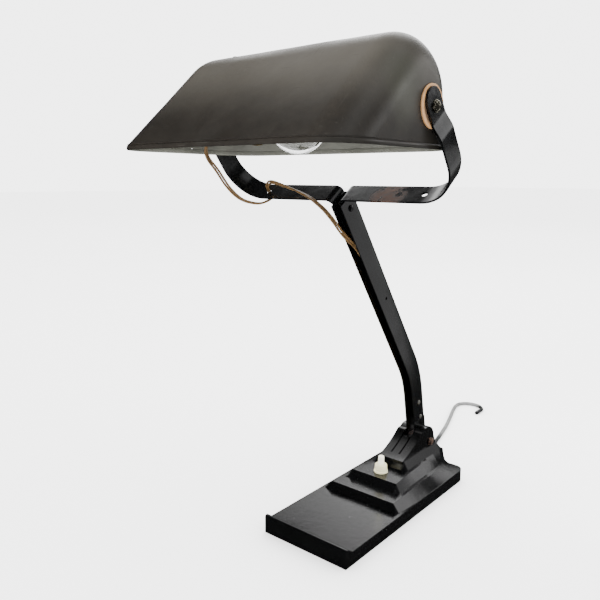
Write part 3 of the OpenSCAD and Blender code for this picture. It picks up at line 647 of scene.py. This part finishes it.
EAR_HALF, SLOT_IN, SLOT_OUT = 20.0, 5.5, 7.7
LOBE_AT, LOBE_R = (HINGE.x - 10.5, HINGE.y + 4.5), 21.5
SLOPE_AT, SLOPE_R = (81.2, STEP_3 + 135.8), 140.0
COVER_RIM = 6.0
FLEX_IN = (1.5, 186, 33)


def add_hinge_block(ob):
    """A hollow front slope and a round lobe, cut by the arm's two slots, with a low rib between them."""
    outline = [(119, STEP_3 - 6), (119, STEP_3 + 0.2)]
    arcs = (SLOPE_AT, SLOPE_R, -74.5, 24, 12), (LOBE_AT, LOBE_R, 128, -122, 20)
    for (y, z), r, start, turn, steps in arcs:
        angles = [radians(start + turn * i / steps) for i in range(steps + 1)]
        outline += [(y + r * cos(a), z + r * sin(a)) for a in angles]
    outline += [(HINGE.x + 17, STEP_3), (HINGE.x + 17.5, STEP_3 - 6)]
    boolean(ob, *prism(outline, -EAR_HALF, EAR_HALF), op="UNION")
    over = STEP_3 + 60
    slot = [(131, STEP_3 + 2), (184, STEP_3 - 11.4), (HINGE.x, STEP_3 - 13.8), (222, STEP_3 - 10),
            (236, STEP_3 + 6), (236, over), (131, over)]
    boolean(ob, *prism(slot, SLOT_IN, SLOT_OUT))
    boolean(ob, *prism(slot, -SLOT_OUT, -SLOT_IN))
    boolean(ob, *box_mesh((-SLOT_IN - 0.1, 148, STEP_3 + 21), (SLOT_IN + 0.1, 240, over)))


def cut_cover_recess(ob):
    """The hollow under the base, round at its rear corners."""
    r, x, front = CORNER_R - COVER_RIM, BASE_HALF - COVER_RIM, BASE_FRONT + COVER_RIM
    outline = [(x, front)]
    for side, start in ((1, 0), (-1, 90)):
        turns = [radians(start + 9 * i) for i in range(11)]
        outline += [(side * CORNER_X + r * cos(a), CORNER_Y + r * sin(a)) for a in turns]
    outline.append((-x, front))
    boolean(ob, *loft([[(x, y, z) for x, y in outline] for z in (-3, 8)]))


def base_mesh():
    ob = new_mesh("base_body", *loft(base_rings()), black_base, smooth=None)
    add_hinge_block(ob)
    cut_cover_recess(ob)
    boolean(ob, *cylinder(2.7, -0.5, 70, UPWARD, FLEX_IN, 24))
    finish_mesh(ob, 16, (0.7, 3, 16))
    place(ob, "base", "base_casting")


def fix(node, mat):
    """A CAD node that is shown as it is, with its own material."""
    ob = NODES[node]
    ob.data.materials.clear()
    ob.data.materials.append(mat)
    ob.data.shade_smooth()
    ob.data.set_sharp_from_angle(angle=radians(35))


def felt():
    m = Mat("green_felt")
    fuzz = m.noise(900, 5, 0.8)
    m.set(color=m.mix(fuzz, (0.02, 0.05, 0.025), (0.07, 0.13, 0.07)), rough=0.9, sheen=0.4)
    m.bump(fuzz, 0.8, 0.0004)
    return m.mat


base_mesh()
fix("bottom_cover", steel("cover_steel", (0.10, 0.10, 0.10), 0.5, 0.3))
fix("felt_pad", felt())
fix("cover_screws", bright_steel)
fix("terminal_block", moulding("brown_moulding", (0.12, 0.05, 0.03)))
fix("switch_body", ivory)
fix("switch_spring", bright_steel)

# ---------------- switch

turned("switch_collar_ring", [
    (4.5, 0.4), (4.5, 0), (9.5, 0), (10, 0.5), (10.05, 2.6), (9.7, 3.2), (8.5, 3.5), (8.4, 4.4), (9.1, 4.9),
    (9.0, 6.1), (8.75, 8.0), (8.6, 10.6), (8.3, 11.7), (7.4, 12.5), (5.4, 12.55), (5.0, 12.2), (4.35, 11.6),
    (4.3, 4.6), (4.5, 4.4), (4.5, 0.4)],
    ivory, "base", at=(0, SWITCH_Y, STEP_2), cad="switch_collar", round_r=0.35)
turned("push_button", [
    (0, 28), (3.5, 28), (3.5, 49.5), (4.2, 49.5), (4.2, 63.2), (4.05, 64.5), (3.3, 65.3), (1.6, 65.5),
    (0, 65.35)],
    ivory_light, "button", at=(0, SWITCH_Y, 0), cad="switch_button", round_r=0.5)

# ---------------- hinge

def domed_bolt(name, body, at, axis, r, dome, mats, slot_w, cad, washer=None):
    """A slotted round head of radius r, which stands on a small washer where one is given."""
    edge, steps = 0.5, 8
    foot = [(0, -0.3), (washer, -0.3), (washer, 0.9), (r, 0.95)] if washer else [(0, -0.2), (r, -0.2)]
    profile = foot + [(r, edge)]
    for i in range(1, steps + 1):
        a = radians(90 * i / steps)
        profile.append((r * cos(a) if i < steps else 0, edge + dome * sin(a)))
    ob = new_mesh(name, *lathe(rounded(profile, 0.25), 48), mats, smooth=None)
    top = edge + dome
    boolean(ob, *box_mesh((-r * 2, -slot_w / 2, top - 1.3), (r * 2, slot_w / 2, top + 3)))
    turn = Vector(UPWARD).rotation_difference(Vector(axis)).to_matrix().to_4x4()
    ob.data.transform(Matrix.Translation(Vector(at) * MM) @ turn @ Matrix.Rotation(0.5, 4, "Z"))
    finish_mesh(ob)
    place(ob, body, cad)


turned("hinge_bolt_shank", [(0, -28), (2.5, -28), (2.95, -27.5), (2.95, 22.2), (0, 22.2)], rusty, "base",
       TO_RIGHT, (0, *HINGE), slot="hinge_bolt")
domed_bolt("hinge_bolt_head", "base", (22.1, *HINGE), TO_RIGHT, 5.2, 3.0, rusty, 1.3, "hinge_bolt")
fix("hinge_nut", rusty)
fix("hinge_washers", rusty)

# ---------------- arm

def arm_stations(start, end, steps=16):
    """(centre, lean) down the channel, from a length above the foot to a length above the yoke bolt."""
    out = [(FOOT + start * up(LOW), LOW)]
    for i in range(steps + 1):
        lean = LOW + (HIGH - LOW) * i / steps
        out.append((BEND_C + BEND_R * back(lean), lean))
    return out + [(YOKE_BOLT + end * up(HIGH), HIGH)]


def mirrored(half):
    return half + [(-x, o) for x, o in reversed(half)]


def channel_section():
    """(x, offset to the rear) round the channel, which is open to the front."""
    h, w, outer_r, inner_r = ARM_D / 2, ARM_W / 2, 3, 1.4
    floor, wall = h - ARM_T, w - ARM_T
    quarter = [radians(22.5 * i) for i in range(5)]
    outside = [(-w, -h)]
    outside += [(-w + outer_r - outer_r * cos(a), h - outer_r + outer_r * sin(a)) for a in quarter]
    quarter = [radians(30 * i) for i in range(4)]
    inside = [(wall, -h)]
    inside += [(wall - inner_r + inner_r * cos(a), floor - inner_r + inner_r * sin(a)) for a in quarter]
    return mirrored(outside) + mirrored(inside)


def arm_channel():
    stations = arm_stations(WEB_FROM, ARM_HEAD)
    rings = [[(x, *(c + o * back(lean))) for x, o in channel_section()] for c, lean in stations]
    ob = new_mesh("arm_u", *loft(rings), black_arm, smooth=None)
    spare_hole = BEND_END + 128 * up(HIGH)
    for p, r in [(YOKE_BOLT, 2.4), (spare_hole, 1.9)] + [(p, 1.9) for p in ARM_SCREWS]:
        boolean(ob, *cylinder(r, -12, 12, TO_RIGHT, (0, *p), 24))
    finish_mesh(ob, 30, (0.35, 2, 40))
    place(ob, "arm", "arm_channel")


def arm_foot(side, name):
    """One of the two flanges that run on down, each to a round foot in the hinge block."""
    h = ARM_D / 2
    top = FOOT + WEB_FROM * up(LOW)
    outline = [top - h * back(LOW)]
    turns = [radians(a) for a in range(180, 361, 6)]
    outline += [FOOT + h * (cos(a) * back(LOW) + sin(a) * up(LOW)) for a in turns]
    outline.append(top + h * back(LOW))
    x0, x1 = sorted((side * (ARM_W / 2 - ARM_T), side * ARM_W / 2))
    ob = new_mesh("arm_foot_" + name, *prism([tuple(p) for p in outline], x0, x1), black_arm, smooth=None)
    finish_mesh(ob, 30, (0.35, 2, 40))
    place(ob, "arm")


arm_channel()
arm_foot(-1, "left")
arm_foot(1, "right")
fix("arm_filler", black_arm)
for i, p in enumerate(ARM_SCREWS):
    domed_bolt(f"arm_screw_{i}", "arm", (ARM_W / 2, *p), TO_RIGHT, 3.7, 1.6, worn_steel, 0.8, "arm_screws")
    turned(f"arm_screw_tail_{i}",
           [(0, -9), (2.8, -9), (3.2, -8.2), (3.2, -7.4), (1.9, -7.4), (1.9, 7.3), (0, 7.3)], dark_steel,
           "arm", TO_RIGHT, (0, *p), slot="arm_screws")
domed_bolt("yoke_bolt_head", "arm", (ARM_W / 2, *YOKE_BOLT), TO_RIGHT, 4.2, 1.9, black_arm, 0.9, "yoke_bolt")
turned("yoke_bolt_shank", [(0, -11), (2.0, -11), (2.5, -10.5), (2.5, 7.3), (0, 7.3)], dark_steel, "arm",
       TO_RIGHT, (0, *YOKE_BOLT), slot="yoke_bolt")
fix("yoke_spacer", dark_steel)
fix("yoke_nut", dark_steel)

# ---------------- yoke

def yoke(x, u, w=0.0):
    """A place in the yoke's own plane: across, up along it, and square to it."""
    p = YOKE_AT + u * up(LEAN) + w * back(LEAN)
    return Vector((x, *p))


def strip_path():
    """(x, up, half-width) along one strip, from its leg to its eye."""
    leg, r, leg_half, half = ARM_W / 2 - ARM_T - STRIP_T / 2, 9.0, 12.5, HALF_STRIP
    side = YOKE_HALF - STRIP_T / 2
    eye = YOKE_HALF - JOGGLE - STRIP_T / 2
    out = [(leg, -39, leg_half), (leg, -r - 1, leg_half)]
    for a in range(0, 91, 9):
        widen = (half - leg_half) * min(a / 45, 1)
        out.append((leg + r - r * cos(radians(a)), -r + r * sin(radians(a)), leg_half + widen))
    out += [(x, 0, half) for x in (30, 60, 90)]
    for a in range(0, 91, 5):
        out.append((side - YOKE_R + YOKE_R * sin(radians(a)), YOKE_R - YOKE_R * cos(radians(a)), half))
    step_from, step_len = 73, 20
    out += [(side, 60, half), (side, step_from, half)]
    for t in [i / 10 for i in range(1, 11)]:
        out.append((side + (eye - side) * (3 * t * t - 2 * t ** 3), step_from + step_len * t, half))
    eye_centre = PIVOT_UP + 19 - half
    out += [(eye, v, half) for v in (97, 103, eye_centre)]
    for a in (10, 20, 30, 40, 50, 58, 66, 73, 79, 84, 88):
        out.append((eye, eye_centre + half * sin(radians(a)), max(half * cos(radians(a)), 0.6)))
    return out


def strip(side, mat, name, cad):
    """One bent strip: a flat band along the path, a little wavy from handling, with its three holes."""
    path = strip_path()
    rings = []
    for i, (x, u, h) in enumerate(path):
        a, b = path[max(i - 1, 0)], path[min(i + 1, len(path) - 1)]
        t = Vector((b[0] - a[0], b[1] - a[1])).normalized()
        n = Vector((-t.y, t.x)) * STRIP_T / 2
        wave = 0.35 * noise.noise(Vector((x * 0.02 * side, u * 0.02, 3)))
        c = Vector((x, u)) + n.normalized() * wave * (1 if 20 < i < len(path) - 16 else 0)
        corners = ((c + n, h), (c - n, h), (c - n, -h), (c + n, -h))
        rings.append([tuple(yoke(side * q.x, q.y, w)) for q, w in corners])
    ob = new_mesh(name, *loft(rings), mat, smooth=None)
    boolean(ob, *cylinder(FLEX_HOLE_R, 0, 16, (0, *up(LEAN)), yoke(side * FLEX_HOLE_X, -8), 32))
    boolean(ob, *cylinder(3.1, -170, 170, TO_RIGHT, (0, *PIVOT), 32))
    boolean(ob, *cylinder(2.6, -20, 20, TO_RIGHT, (0, *YOKE_BOLT), 32))
    finish_mesh(ob, 30, (0.5, 2, 40))
    place(ob, "arm", cad)


strip(-1, black_left, "yoke_strap_left", "yoke_strip_left")
strip(1, black_right, "yoke_strap_right", "yoke_strip_right")

# ---------------- shade

RIM, BAND, SHADE_HALF, SHADE_FRONT, SHADE_T = 483.5, 5.0, 151.0, -229.0, 1.2
EDGE_R, CROWN_R = 36.0, 61.0
FRONT_A, FRONT_LEN, BACK_A = 42.0, 131.0, 8.0
PANEL_FROM = Vector((SHADE_FRONT, RIM + BAND))
PANEL_TO = PANEL_FROM + FRONT_LEN * back(FRONT_A)
CROWN_C = PANEL_TO - CROWN_R * up(FRONT_A)


def hood_row(inset, n_front=26, n_crown=44, n_back=12):
    """The hood's section at an inset from its outer face, from the front rim to the back one."""
    r = CROWN_R - inset
    start, end = 90 + FRONT_A, BACK_A
    turns = [radians(start + (end - start) * i / n_crown) for i in range(n_crown + 1)]
    arc = [CROWN_C + r * Vector((cos(a), sin(a))) for a in turns]
    floor = RIM + BAND
    p, q = arc[0], arc[-1]
    front = p - (p.y - floor) * Vector((1 / tan(radians(FRONT_A)), 1))
    rear = q + (q.y - floor) * Vector((tan(radians(BACK_A)), -1))
    return ([front.lerp(p, i / n_front) for i in range(n_front)] + arc
            + [q.lerp(rear, i / n_back) for i in range(1, n_back + 1)])


def hood_grid(inset):
    """Rows of points over half of the hood, from the middle to the end cap's centre."""
    flat, r, flat_steps, edge_steps = SHADE_HALF - EDGE_R, EDGE_R - inset, 12, 16
    rows = [(flat * i / flat_steps, hood_row(inset)) for i in range(flat_steps + 1)]
    for i in range(1, edge_steps + 1):
        a = radians(90 * i / edge_steps)
        rows.append((flat + r * sin(a), hood_row(inset + r * (1 - cos(a)))))
    x, last = rows[-1]
    middle = (last[0] + last[-1]) / 2
    for shrink in (0.86, 0.7, 0.52, 0.34, 0.16, 0.03):
        rows.append((x, [middle + shrink * (p - middle) for p in last]))
    return rows


def hood_surface(inset):
    """Points and faces of the whole hood, and its rim."""
    half = hood_grid(inset)
    rows = [(-x, r) for x, r in reversed(half[1:])] + half
    n, m = len(rows), len(rows[0][1])
    verts = [(x, *p) for x, r in rows for p in r]
    faces = [(i * m + j, i * m + j + 1, (i + 1) * m + j + 1, (i + 1) * m + j)
             for i in range(n - 1) for j in range(m - 1)]
    rim = [verts[i * m] for i in range(n)] + [verts[i * m + m - 1] for i in reversed(range(n))]
    return verts, faces, rim


def dented(v):
    """Hand-worn sheet metal: slow waves, well under a millimetre, that die out at the rim."""
    p = Vector(v)
    fade = min(max((p.z - RIM - 6) / 30, 0), 1)
    depth = 0.55 * noise.noise(p * 0.012 + Vector((4, 1, 7))) + 0.25 * noise.noise(p * 0.035)
    outward = (p - Vector((max(min(p.x, 100), -100), *CROWN_C))).normalized()
    return tuple(p + outward * depth * fade)


HEM = [(-0.9, 489.6), (0.15, 489.6), (0.2, 488.9), (-0.15, 488.5), (0.5, 488.0), (1.0, 487.0),
       (1.15, 485.6), (1.0, 484.4), (0.45, 483.65), (-0.3, RIM), (-1.1, 483.75), (-1.6, 484.5),
       (-1.75, 486), (-1.7, 488.2), (-1.3, 489.2)]
HEM_OUTSIDE = 9         # this many of the hem's strips face out


def hem_ring(rim):
    """The rim as one even ring at z = 0, with no two points together."""
    ring = []
    for x, y, _ in rim:
        if not ring or (Vector((x, y, 0)) - ring[-1]).length > 0.3:
            ring.append(Vector((x, y, 0)))
    if (ring[0] - ring[-1]).length < 0.3:
        ring.pop()
    dense = []
    for a, b in zip(ring, ring[1:] + ring[:1]):
        k = max(1, int((b - a).length // 9))
        dense += [a.lerp(b, i / k) for i in range(k)]
    return dense


def hem(rim, first):
    """A folded band with a bead, round the whole rim. first is the number of its first point."""
    ring = hem_ring(rim)
    n, m = len(ring), len(HEM)
    verts, faces = [], []
    for i, p in enumerate(ring):
        t = (ring[(i + 1) % n] - ring[i - 1]).normalized()
        out = Vector((t.y, -t.x, 0))
        if out.dot(p - Vector((0, -125, 0))) < 0:
            out = -out
        verts += [tuple(p + out * o + Vector((0, 0, z))) for o, z in HEM]
    for i in range(n):
        this, following = first + i * m, first + (i + 1) % n * m
        for j in range(m):
            k = (j + 1) % m
            faces.append(((this + j, following + j, following + k, this + k), 0 if j < HEM_OUTSIDE else 1))
    return verts, faces


def shade_mesh():
    """The hood's two skins and its hem, in one piece. Each face comes with its material: 0 out, 1 in."""
    outer, outer_faces, rim = hood_surface(0)
    inner, inner_faces, _ = hood_surface(SHADE_T)
    verts = [dented(v) for v in outer + inner]
    faces = [(f, 0) for f in outer_faces]
    faces += [(tuple(len(outer) + i for i in reversed(f)), 1) for f in inner_faces]
    hem_verts, hem_faces = hem(rim, len(verts))
    faces += hem_faces
    ob = new_mesh("hood", verts + hem_verts, [f for f, _ in faces], [shade_outer(), shade_inner()],
                  smooth=None, slots=[m for _, m in faces])
    finish_mesh(ob, 50)
    place(ob, "shade", "shade_shell")


shade_mesh()
tan_fibre = fibre()
for side, name in ((-1, "left"), (1, "right")):
    turned("fibre_ring_" + name,
           [(3.2, 0), (20.4, 0), (21.1, 0.5), (21.0, 1.9), (20.3, 2.45), (12, 2.35), (3.2, 2.45), (3.2, 0)],
           tan_fibre, "shade", (side, 0, 0), (side * SHADE_HALF, *PIVOT), cad="fibre_washers")
    domed_bolt("pivot_bolt_" + name, "shade", (side * (YOKE_HALF - 4.2), *PIVOT), (side, 0, 0),
               5.6, 4.0, bolt_steel, 1.2, "pivot_bolts", washer=6.3)
    turned("pivot_shank_" + name, [(0, 139), (2.4, 139), (2.95, 139.6), (2.95, 156), (0, 156)], dark_steel,
           "shade", (side, 0, 0), (0, *PIVOT), slot="pivot_bolts")
fix("pivot_cup_washers", bright_steel)
fix("pivot_nuts", bright_steel)

# ---------------- lamp holder and bulb

fix("socket_bracket", bright_steel)
fix("bracket_screws", dark_steel)
fix("socket_shell", brass)
fix("socket_ring", brass)
fix("socket_core", moulding("porcelain", (0.80, 0.77, 0.70), 0.2))
fix("bulb_cap", bright_steel)
fix("bulb_mount", glass("mount_glass"))


BULB_R, GLOBE_AT, BULB_END, GLASS_T = 30.0, 74.0, -48.0, 0.8


def bulb_line(inset):
    """(radius, distance from the cap's end) along the glass: a neck that swells into a globe."""
    r, join_a, ease, steps = BULB_R - inset, radians(138), 7, 48
    neck = Vector((14 - inset, 35))
    join = Vector((r * sin(join_a), GLOBE_AT + r * cos(join_a)))
    handles = neck, neck + Vector((0, ease)), join - ease * Vector((-cos(join_a), sin(join_a))), join
    out = [(11.6 - inset, 14), (11.6 - inset, 26.3), (13 - inset, 28.5)]
    out += [tuple(p) for p in geometry.interpolate_bezier(*handles, 13)[:-1]]
    angles = [join_a * (1 - i / steps) for i in range(steps + 1)]
    return out + [(max(r * sin(a), 0), GLOBE_AT + r * cos(a)) for a in angles]


outside, inside = bulb_line(0), bulb_line(GLASS_T)
turned("bulb_envelope", outside + inside[::-1] + outside[:1], glass(), "shade", TO_RIGHT,
       (BULB_END, *LAMP), cad="bulb_glass", sides=96, round_r=0)

# ---------------- twin flex

FLEX_X = 3.0


def in_arm(start, lean, along_it, off):
    """A place in the arm's channel: along the arm from a point, and off its middle toward the rear."""
    p = start + along_it * up(lean) + off * back(lean)
    return Vector((FLEX_X, *p))


def low(along_it, off):
    return in_arm(FOOT, LOW, along_it, off)


def high(along_it, off):
    return in_arm(BEND_END, HIGH, along_it, off)


def in_bend(off):
    return in_arm(BEND_C, (LOW + HIGH) / 2, 0, BEND_R + off)


SOCKET_BACK = -78.0
HEAD = [(SOCKET_BACK - 2.1, *LAMP), (-92, -127, 508.5), (-102, -126, 505), (-112, -124.5, 498),
        (-121, -121, 487)]
LOOP = [(-125, -113, 477), (-130, -95, 464), (-135, -72, 444), (-134, -53, 430), (-127, -39, 424),
        (-118, -27, 423.5), yoke(-FLEX_HOLE_X, -9), yoke(-FLEX_HOLE_X, 0)]
ARM = [yoke(-113, 8), yoke(-107, 14, 1), yoke(-96, 14.5, 0), yoke(-79, 11.5, -3), yoke(-60, 8, -7),
       yoke(-43, 4.5, -11.5), yoke(-32, 3, -15.8), yoke(-23, -3, -18), yoke(-16, -13, -18.3),
       yoke(-10, -28, -18.4), yoke(-5, -46, -18.2), yoke(-1, -62, -15.5), yoke(0, -78, -10), high(185, -5),
       high(130, -5), high(70, -5), high(10, -5), in_bend(-5), low(74, -5), low(56, -5), low(40, -5)]
FLEX_FOOT = [(2.2, 185.2, 88), (1.6, 186, 82), (1.5, 186, 76), (1.5, 186, 60), FLEX_IN]
FLEX_R, STRAND_R, TWIST_PITCH = 1.5, 1.4, 420.0


def strand_rings(path, which, sides=9):
    """The rings of one of the two cores, which turn slowly round each other."""
    rings, reach = [], 0.0
    for i, (p, (t, n, b)) in enumerate(zip(path, frames(path))):
        if i:
            reach += (p - path[i - 1]).length
        a = reach * 2 * pi / TWIST_PITCH + which * pi
        out = cos(a) * n + sin(a) * b
        r = STRAND_R + 0.05 * noise.noise(Vector((reach * 0.15, which * 9, 1)))
        rings.append(circle(p + out * FLEX_R, r, out, t.cross(out), sides))
    return rings


def twin_flex():
    """Two braided cores side by side along the whole route, in four pieces."""
    names = ("flex_in_shade", "flex_hanging_loop", "flex_on_arm", "flex_into_base")
    routes = (HEAD, LOOP, ARM, FLEX_FOOT)
    per_span = 10
    path = smooth_path([p for r in routes for p in r], per_span)
    strands = strand_rings(path, 0), strand_rings(path, 1)
    pieces, start, last = [], 0, -1
    for name, route in zip(names, routes):
        last += len(route)
        end = last * per_span
        (verts, faces), (more, more_faces) = (loft(rings[start:end + 1]) for rings in strands)
        faces += [tuple(len(verts) + i for i in f) for f in more_faces]
        pieces.append(new_mesh(name, verts + more, faces, gold_braid, smooth=60))
        start = end
    in_shade, loop, on_arm, foot = pieces
    place(in_shade, "shade", "flex_head")
    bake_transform(loop)
    place(on_arm, "arm", "flex_arm")
    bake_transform(foot)
    for ob, node in ((loop, "flex_loop"), (foot, "flex_foot")):
        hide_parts(node)


twin_flex()

# ---------------- mains cord

GROMMET_Z, GROMMET_LEN, CORD_R, SLEEVE_LEN = 9.0, 26.0, 3.2, 14
CORD = [(-14, BASE_REAR + GROMMET_LEN, GROMMET_Z), (-14, 266, 8.6), (-14.5, 276, 6.8), (-18, 289, 4.6),
        (-24, 303, 3.2), (-30, 316, 3.2), (-35, 331, 3.2), (-42, 360, 3.2), (-53, 401, 3.2),
        (-68, 448, 3.2), (-79, 480, 3.2), (-88, 511, 3.2), (-88, 529, 3.2), (-78, 541, 3.2),
        (-64, 545, 3.2), (-50, 541, 3.2), (-40, 529, 3.2), (-39, 516, 3.2), (-39.2, 502, 3.2)]


def end_tape():
    """A slightly uneven wrap round the cord's last stretch."""
    tail = even(smooth_path(CORD, 8), 1.0)[-SLEEVE_LEN - 1:]
    rings = []
    for i, (p, (_, n, b)) in enumerate(zip(tail, frames(tail))):
        at_end = i in (0, len(tail) - 1)
        r = CORD_R + 0.25 + 0.12 * sin(i * 1.1) + (-0.2 if at_end else 0)
        rings.append(circle(p + Vector((0, 0, 0.3)), r, n, b, 24))
    black = rubber("tape", (0.008, 0.008, 0.009), 0.35)
    return new_mesh("end_tape", *loft(rings), black, "base", "cord_end_sleeve", smooth=60)


def mains_cord(relief):
    """The cord along its route, with its tape. relief, the strain relief that it comes out of, is not used.
    """
    path = even(smooth_path(CORD, 8), 3.0)
    curve = bpy.data.curves.new("mains_lead", "CURVE")
    curve.dimensions = "3D"
    curve.bevel_depth = CORD_R * MM
    curve.bevel_resolution = 5
    curve.use_fill_caps = True
    spline = curve.splines.new("POLY")
    spline.points.add(len(path) - 1)
    for point, p in zip(spline.points, path):
        point.co = (p.x * MM, p.y * MM, p.z * MM, 1)
    spline.use_smooth = True
    curve.materials.append(cord_material())
    ob = new_object("mains_lead", curve)
    place(ob, "base", "mains_cord")
    end_tape()


def grommet():
    """A ribbed rubber strain relief with a collar against the base's rear."""
    bore, end, pitch = CORD_R - 0.3, GROMMET_LEN, 3.0
    profile = [(bore, -6), (5, -6), (5, 0), (7.4, 0), (7.5, 0.6), (7.5, 2.4), (7.1, 3), (5.9, 3.2)]
    for i in range(7):
        y = 5.2 + pitch * i
        r = 5.75 - 0.29 * (y - 3) / pitch
        profile += [(r, y - 0.9), (r - 0.75, y - 0.5), (r - 0.8, y + 0.2), (r - 0.15, y + 0.6)]
    profile += [(CORD_R + 0.5, end - 0.6), (CORD_R + 0.2, end), (bore, end), (bore, -6)]
    return turned("cord_strain_relief", profile, black_rubber, "base", TO_REAR, (-14, BASE_REAR, GROMMET_Z),
                  "cord_grommet", round_r=0.2)


mains_cord(grommet())

# ---------------- floor, light and camera

def paper():
    """A nearly white, matt ground."""
    m = Mat("floor")
    m.set(color=m.mix(m.noise(3, 3), (0.95, 0.95, 0.95), (0.965, 0.965, 0.965)), rough=0.85, spec=0.1)
    return m.mat


side_way, far, below = 20000, 40000, -0.05
corners = [(-side_way, -side_way), (side_way, -side_way), (side_way, far), (-side_way, far)]
floor = new_mesh("floor", [(x, y, below) for x, y in corners], [(0, 1, 2, 3)], paper(), smooth=None)
floor.visible_glossy = False


def area(name, at, toward, size, power):
    """A soft light that the camera doesn't see."""
    data = bpy.data.lights.new(name, "AREA")
    data.shape = "RECTANGLE"
    data.size, data.size_y = size
    data.energy = power
    ob = new_object(name, data)
    ob.location = at
    ob.rotation_euler = (Vector(toward) - Vector(at)).to_track_quat("-Z", "Y").to_euler()
    ob.visible_camera = False


area("key", (-0.8, 1.9, 2.1), (0, 0, 0.35), (1.4, 1.4), 30)
area("rear", (-2.25, 4.48, 3.3), (0, 0, 0.2), (6.2, 2.2), 77)
area("right_rear", (2.2, 3.4, 1.75), (0, 0, 0.2), (2.6, 1.3), 24)
area("overhead", (-0.50, 0.42, 1.0), (-0.05, 0.14, 0.06), (0.40, 0.48), 0.95)
area("right_top", (1.3, 0.1, 2.2), (0.1, -0.15, 0.5), (1.0, 1.0), 3.8)
area("side_card", (0.30, 0.47, 0.255), (0, 0.47, 0.255), (0.56, 0.49), 0.68)


def studio():
    """A white surround that shiny surfaces see as nearly dark."""
    world = bpy.data.worlds.new("studio")
    bpy.context.scene.world = world
    world.use_nodes = True
    nodes, links = world.node_tree.nodes, world.node_tree.links
    sky = nodes["Background"]
    sky.inputs["Color"].default_value = (1, 1, 1, 1)
    dim = nodes.new("ShaderNodeMapRange")
    dim.inputs["To Min"].default_value, dim.inputs["To Max"].default_value = 4.6, 0.06
    links.new(nodes.new("ShaderNodeLightPath").outputs["Is Glossy Ray"], dim.inputs["Value"])
    links.new(dim.outputs["Result"], sky.inputs["Strength"])


def add_camera(at, toward, turn, roll):
    """A camera in metres that looks along a direction; its right side heads this many degrees from +X."""
    data = bpy.data.cameras.new("camera")
    data.lens, data.sensor_width = 38.49, 36
    data.clip_end = 50
    view = Vector(toward).normalized()
    right = Vector((cos(radians(turn)), sin(radians(turn)), 0))
    above = right.cross(view)
    c, s = cos(radians(roll)), sin(radians(roll))
    right, above = right * c + above * s, above * c - right * s
    ob = new_object("camera", data)
    ob.matrix_world = Matrix.Translation(at) @ Matrix((right, above, -view)).transposed().to_4x4()
    bpy.context.scene.camera = ob


studio()
add_camera((0.460, -0.646, 0.454), (-0.62745, 0.75639, -0.18486), 39.68, 0.33)
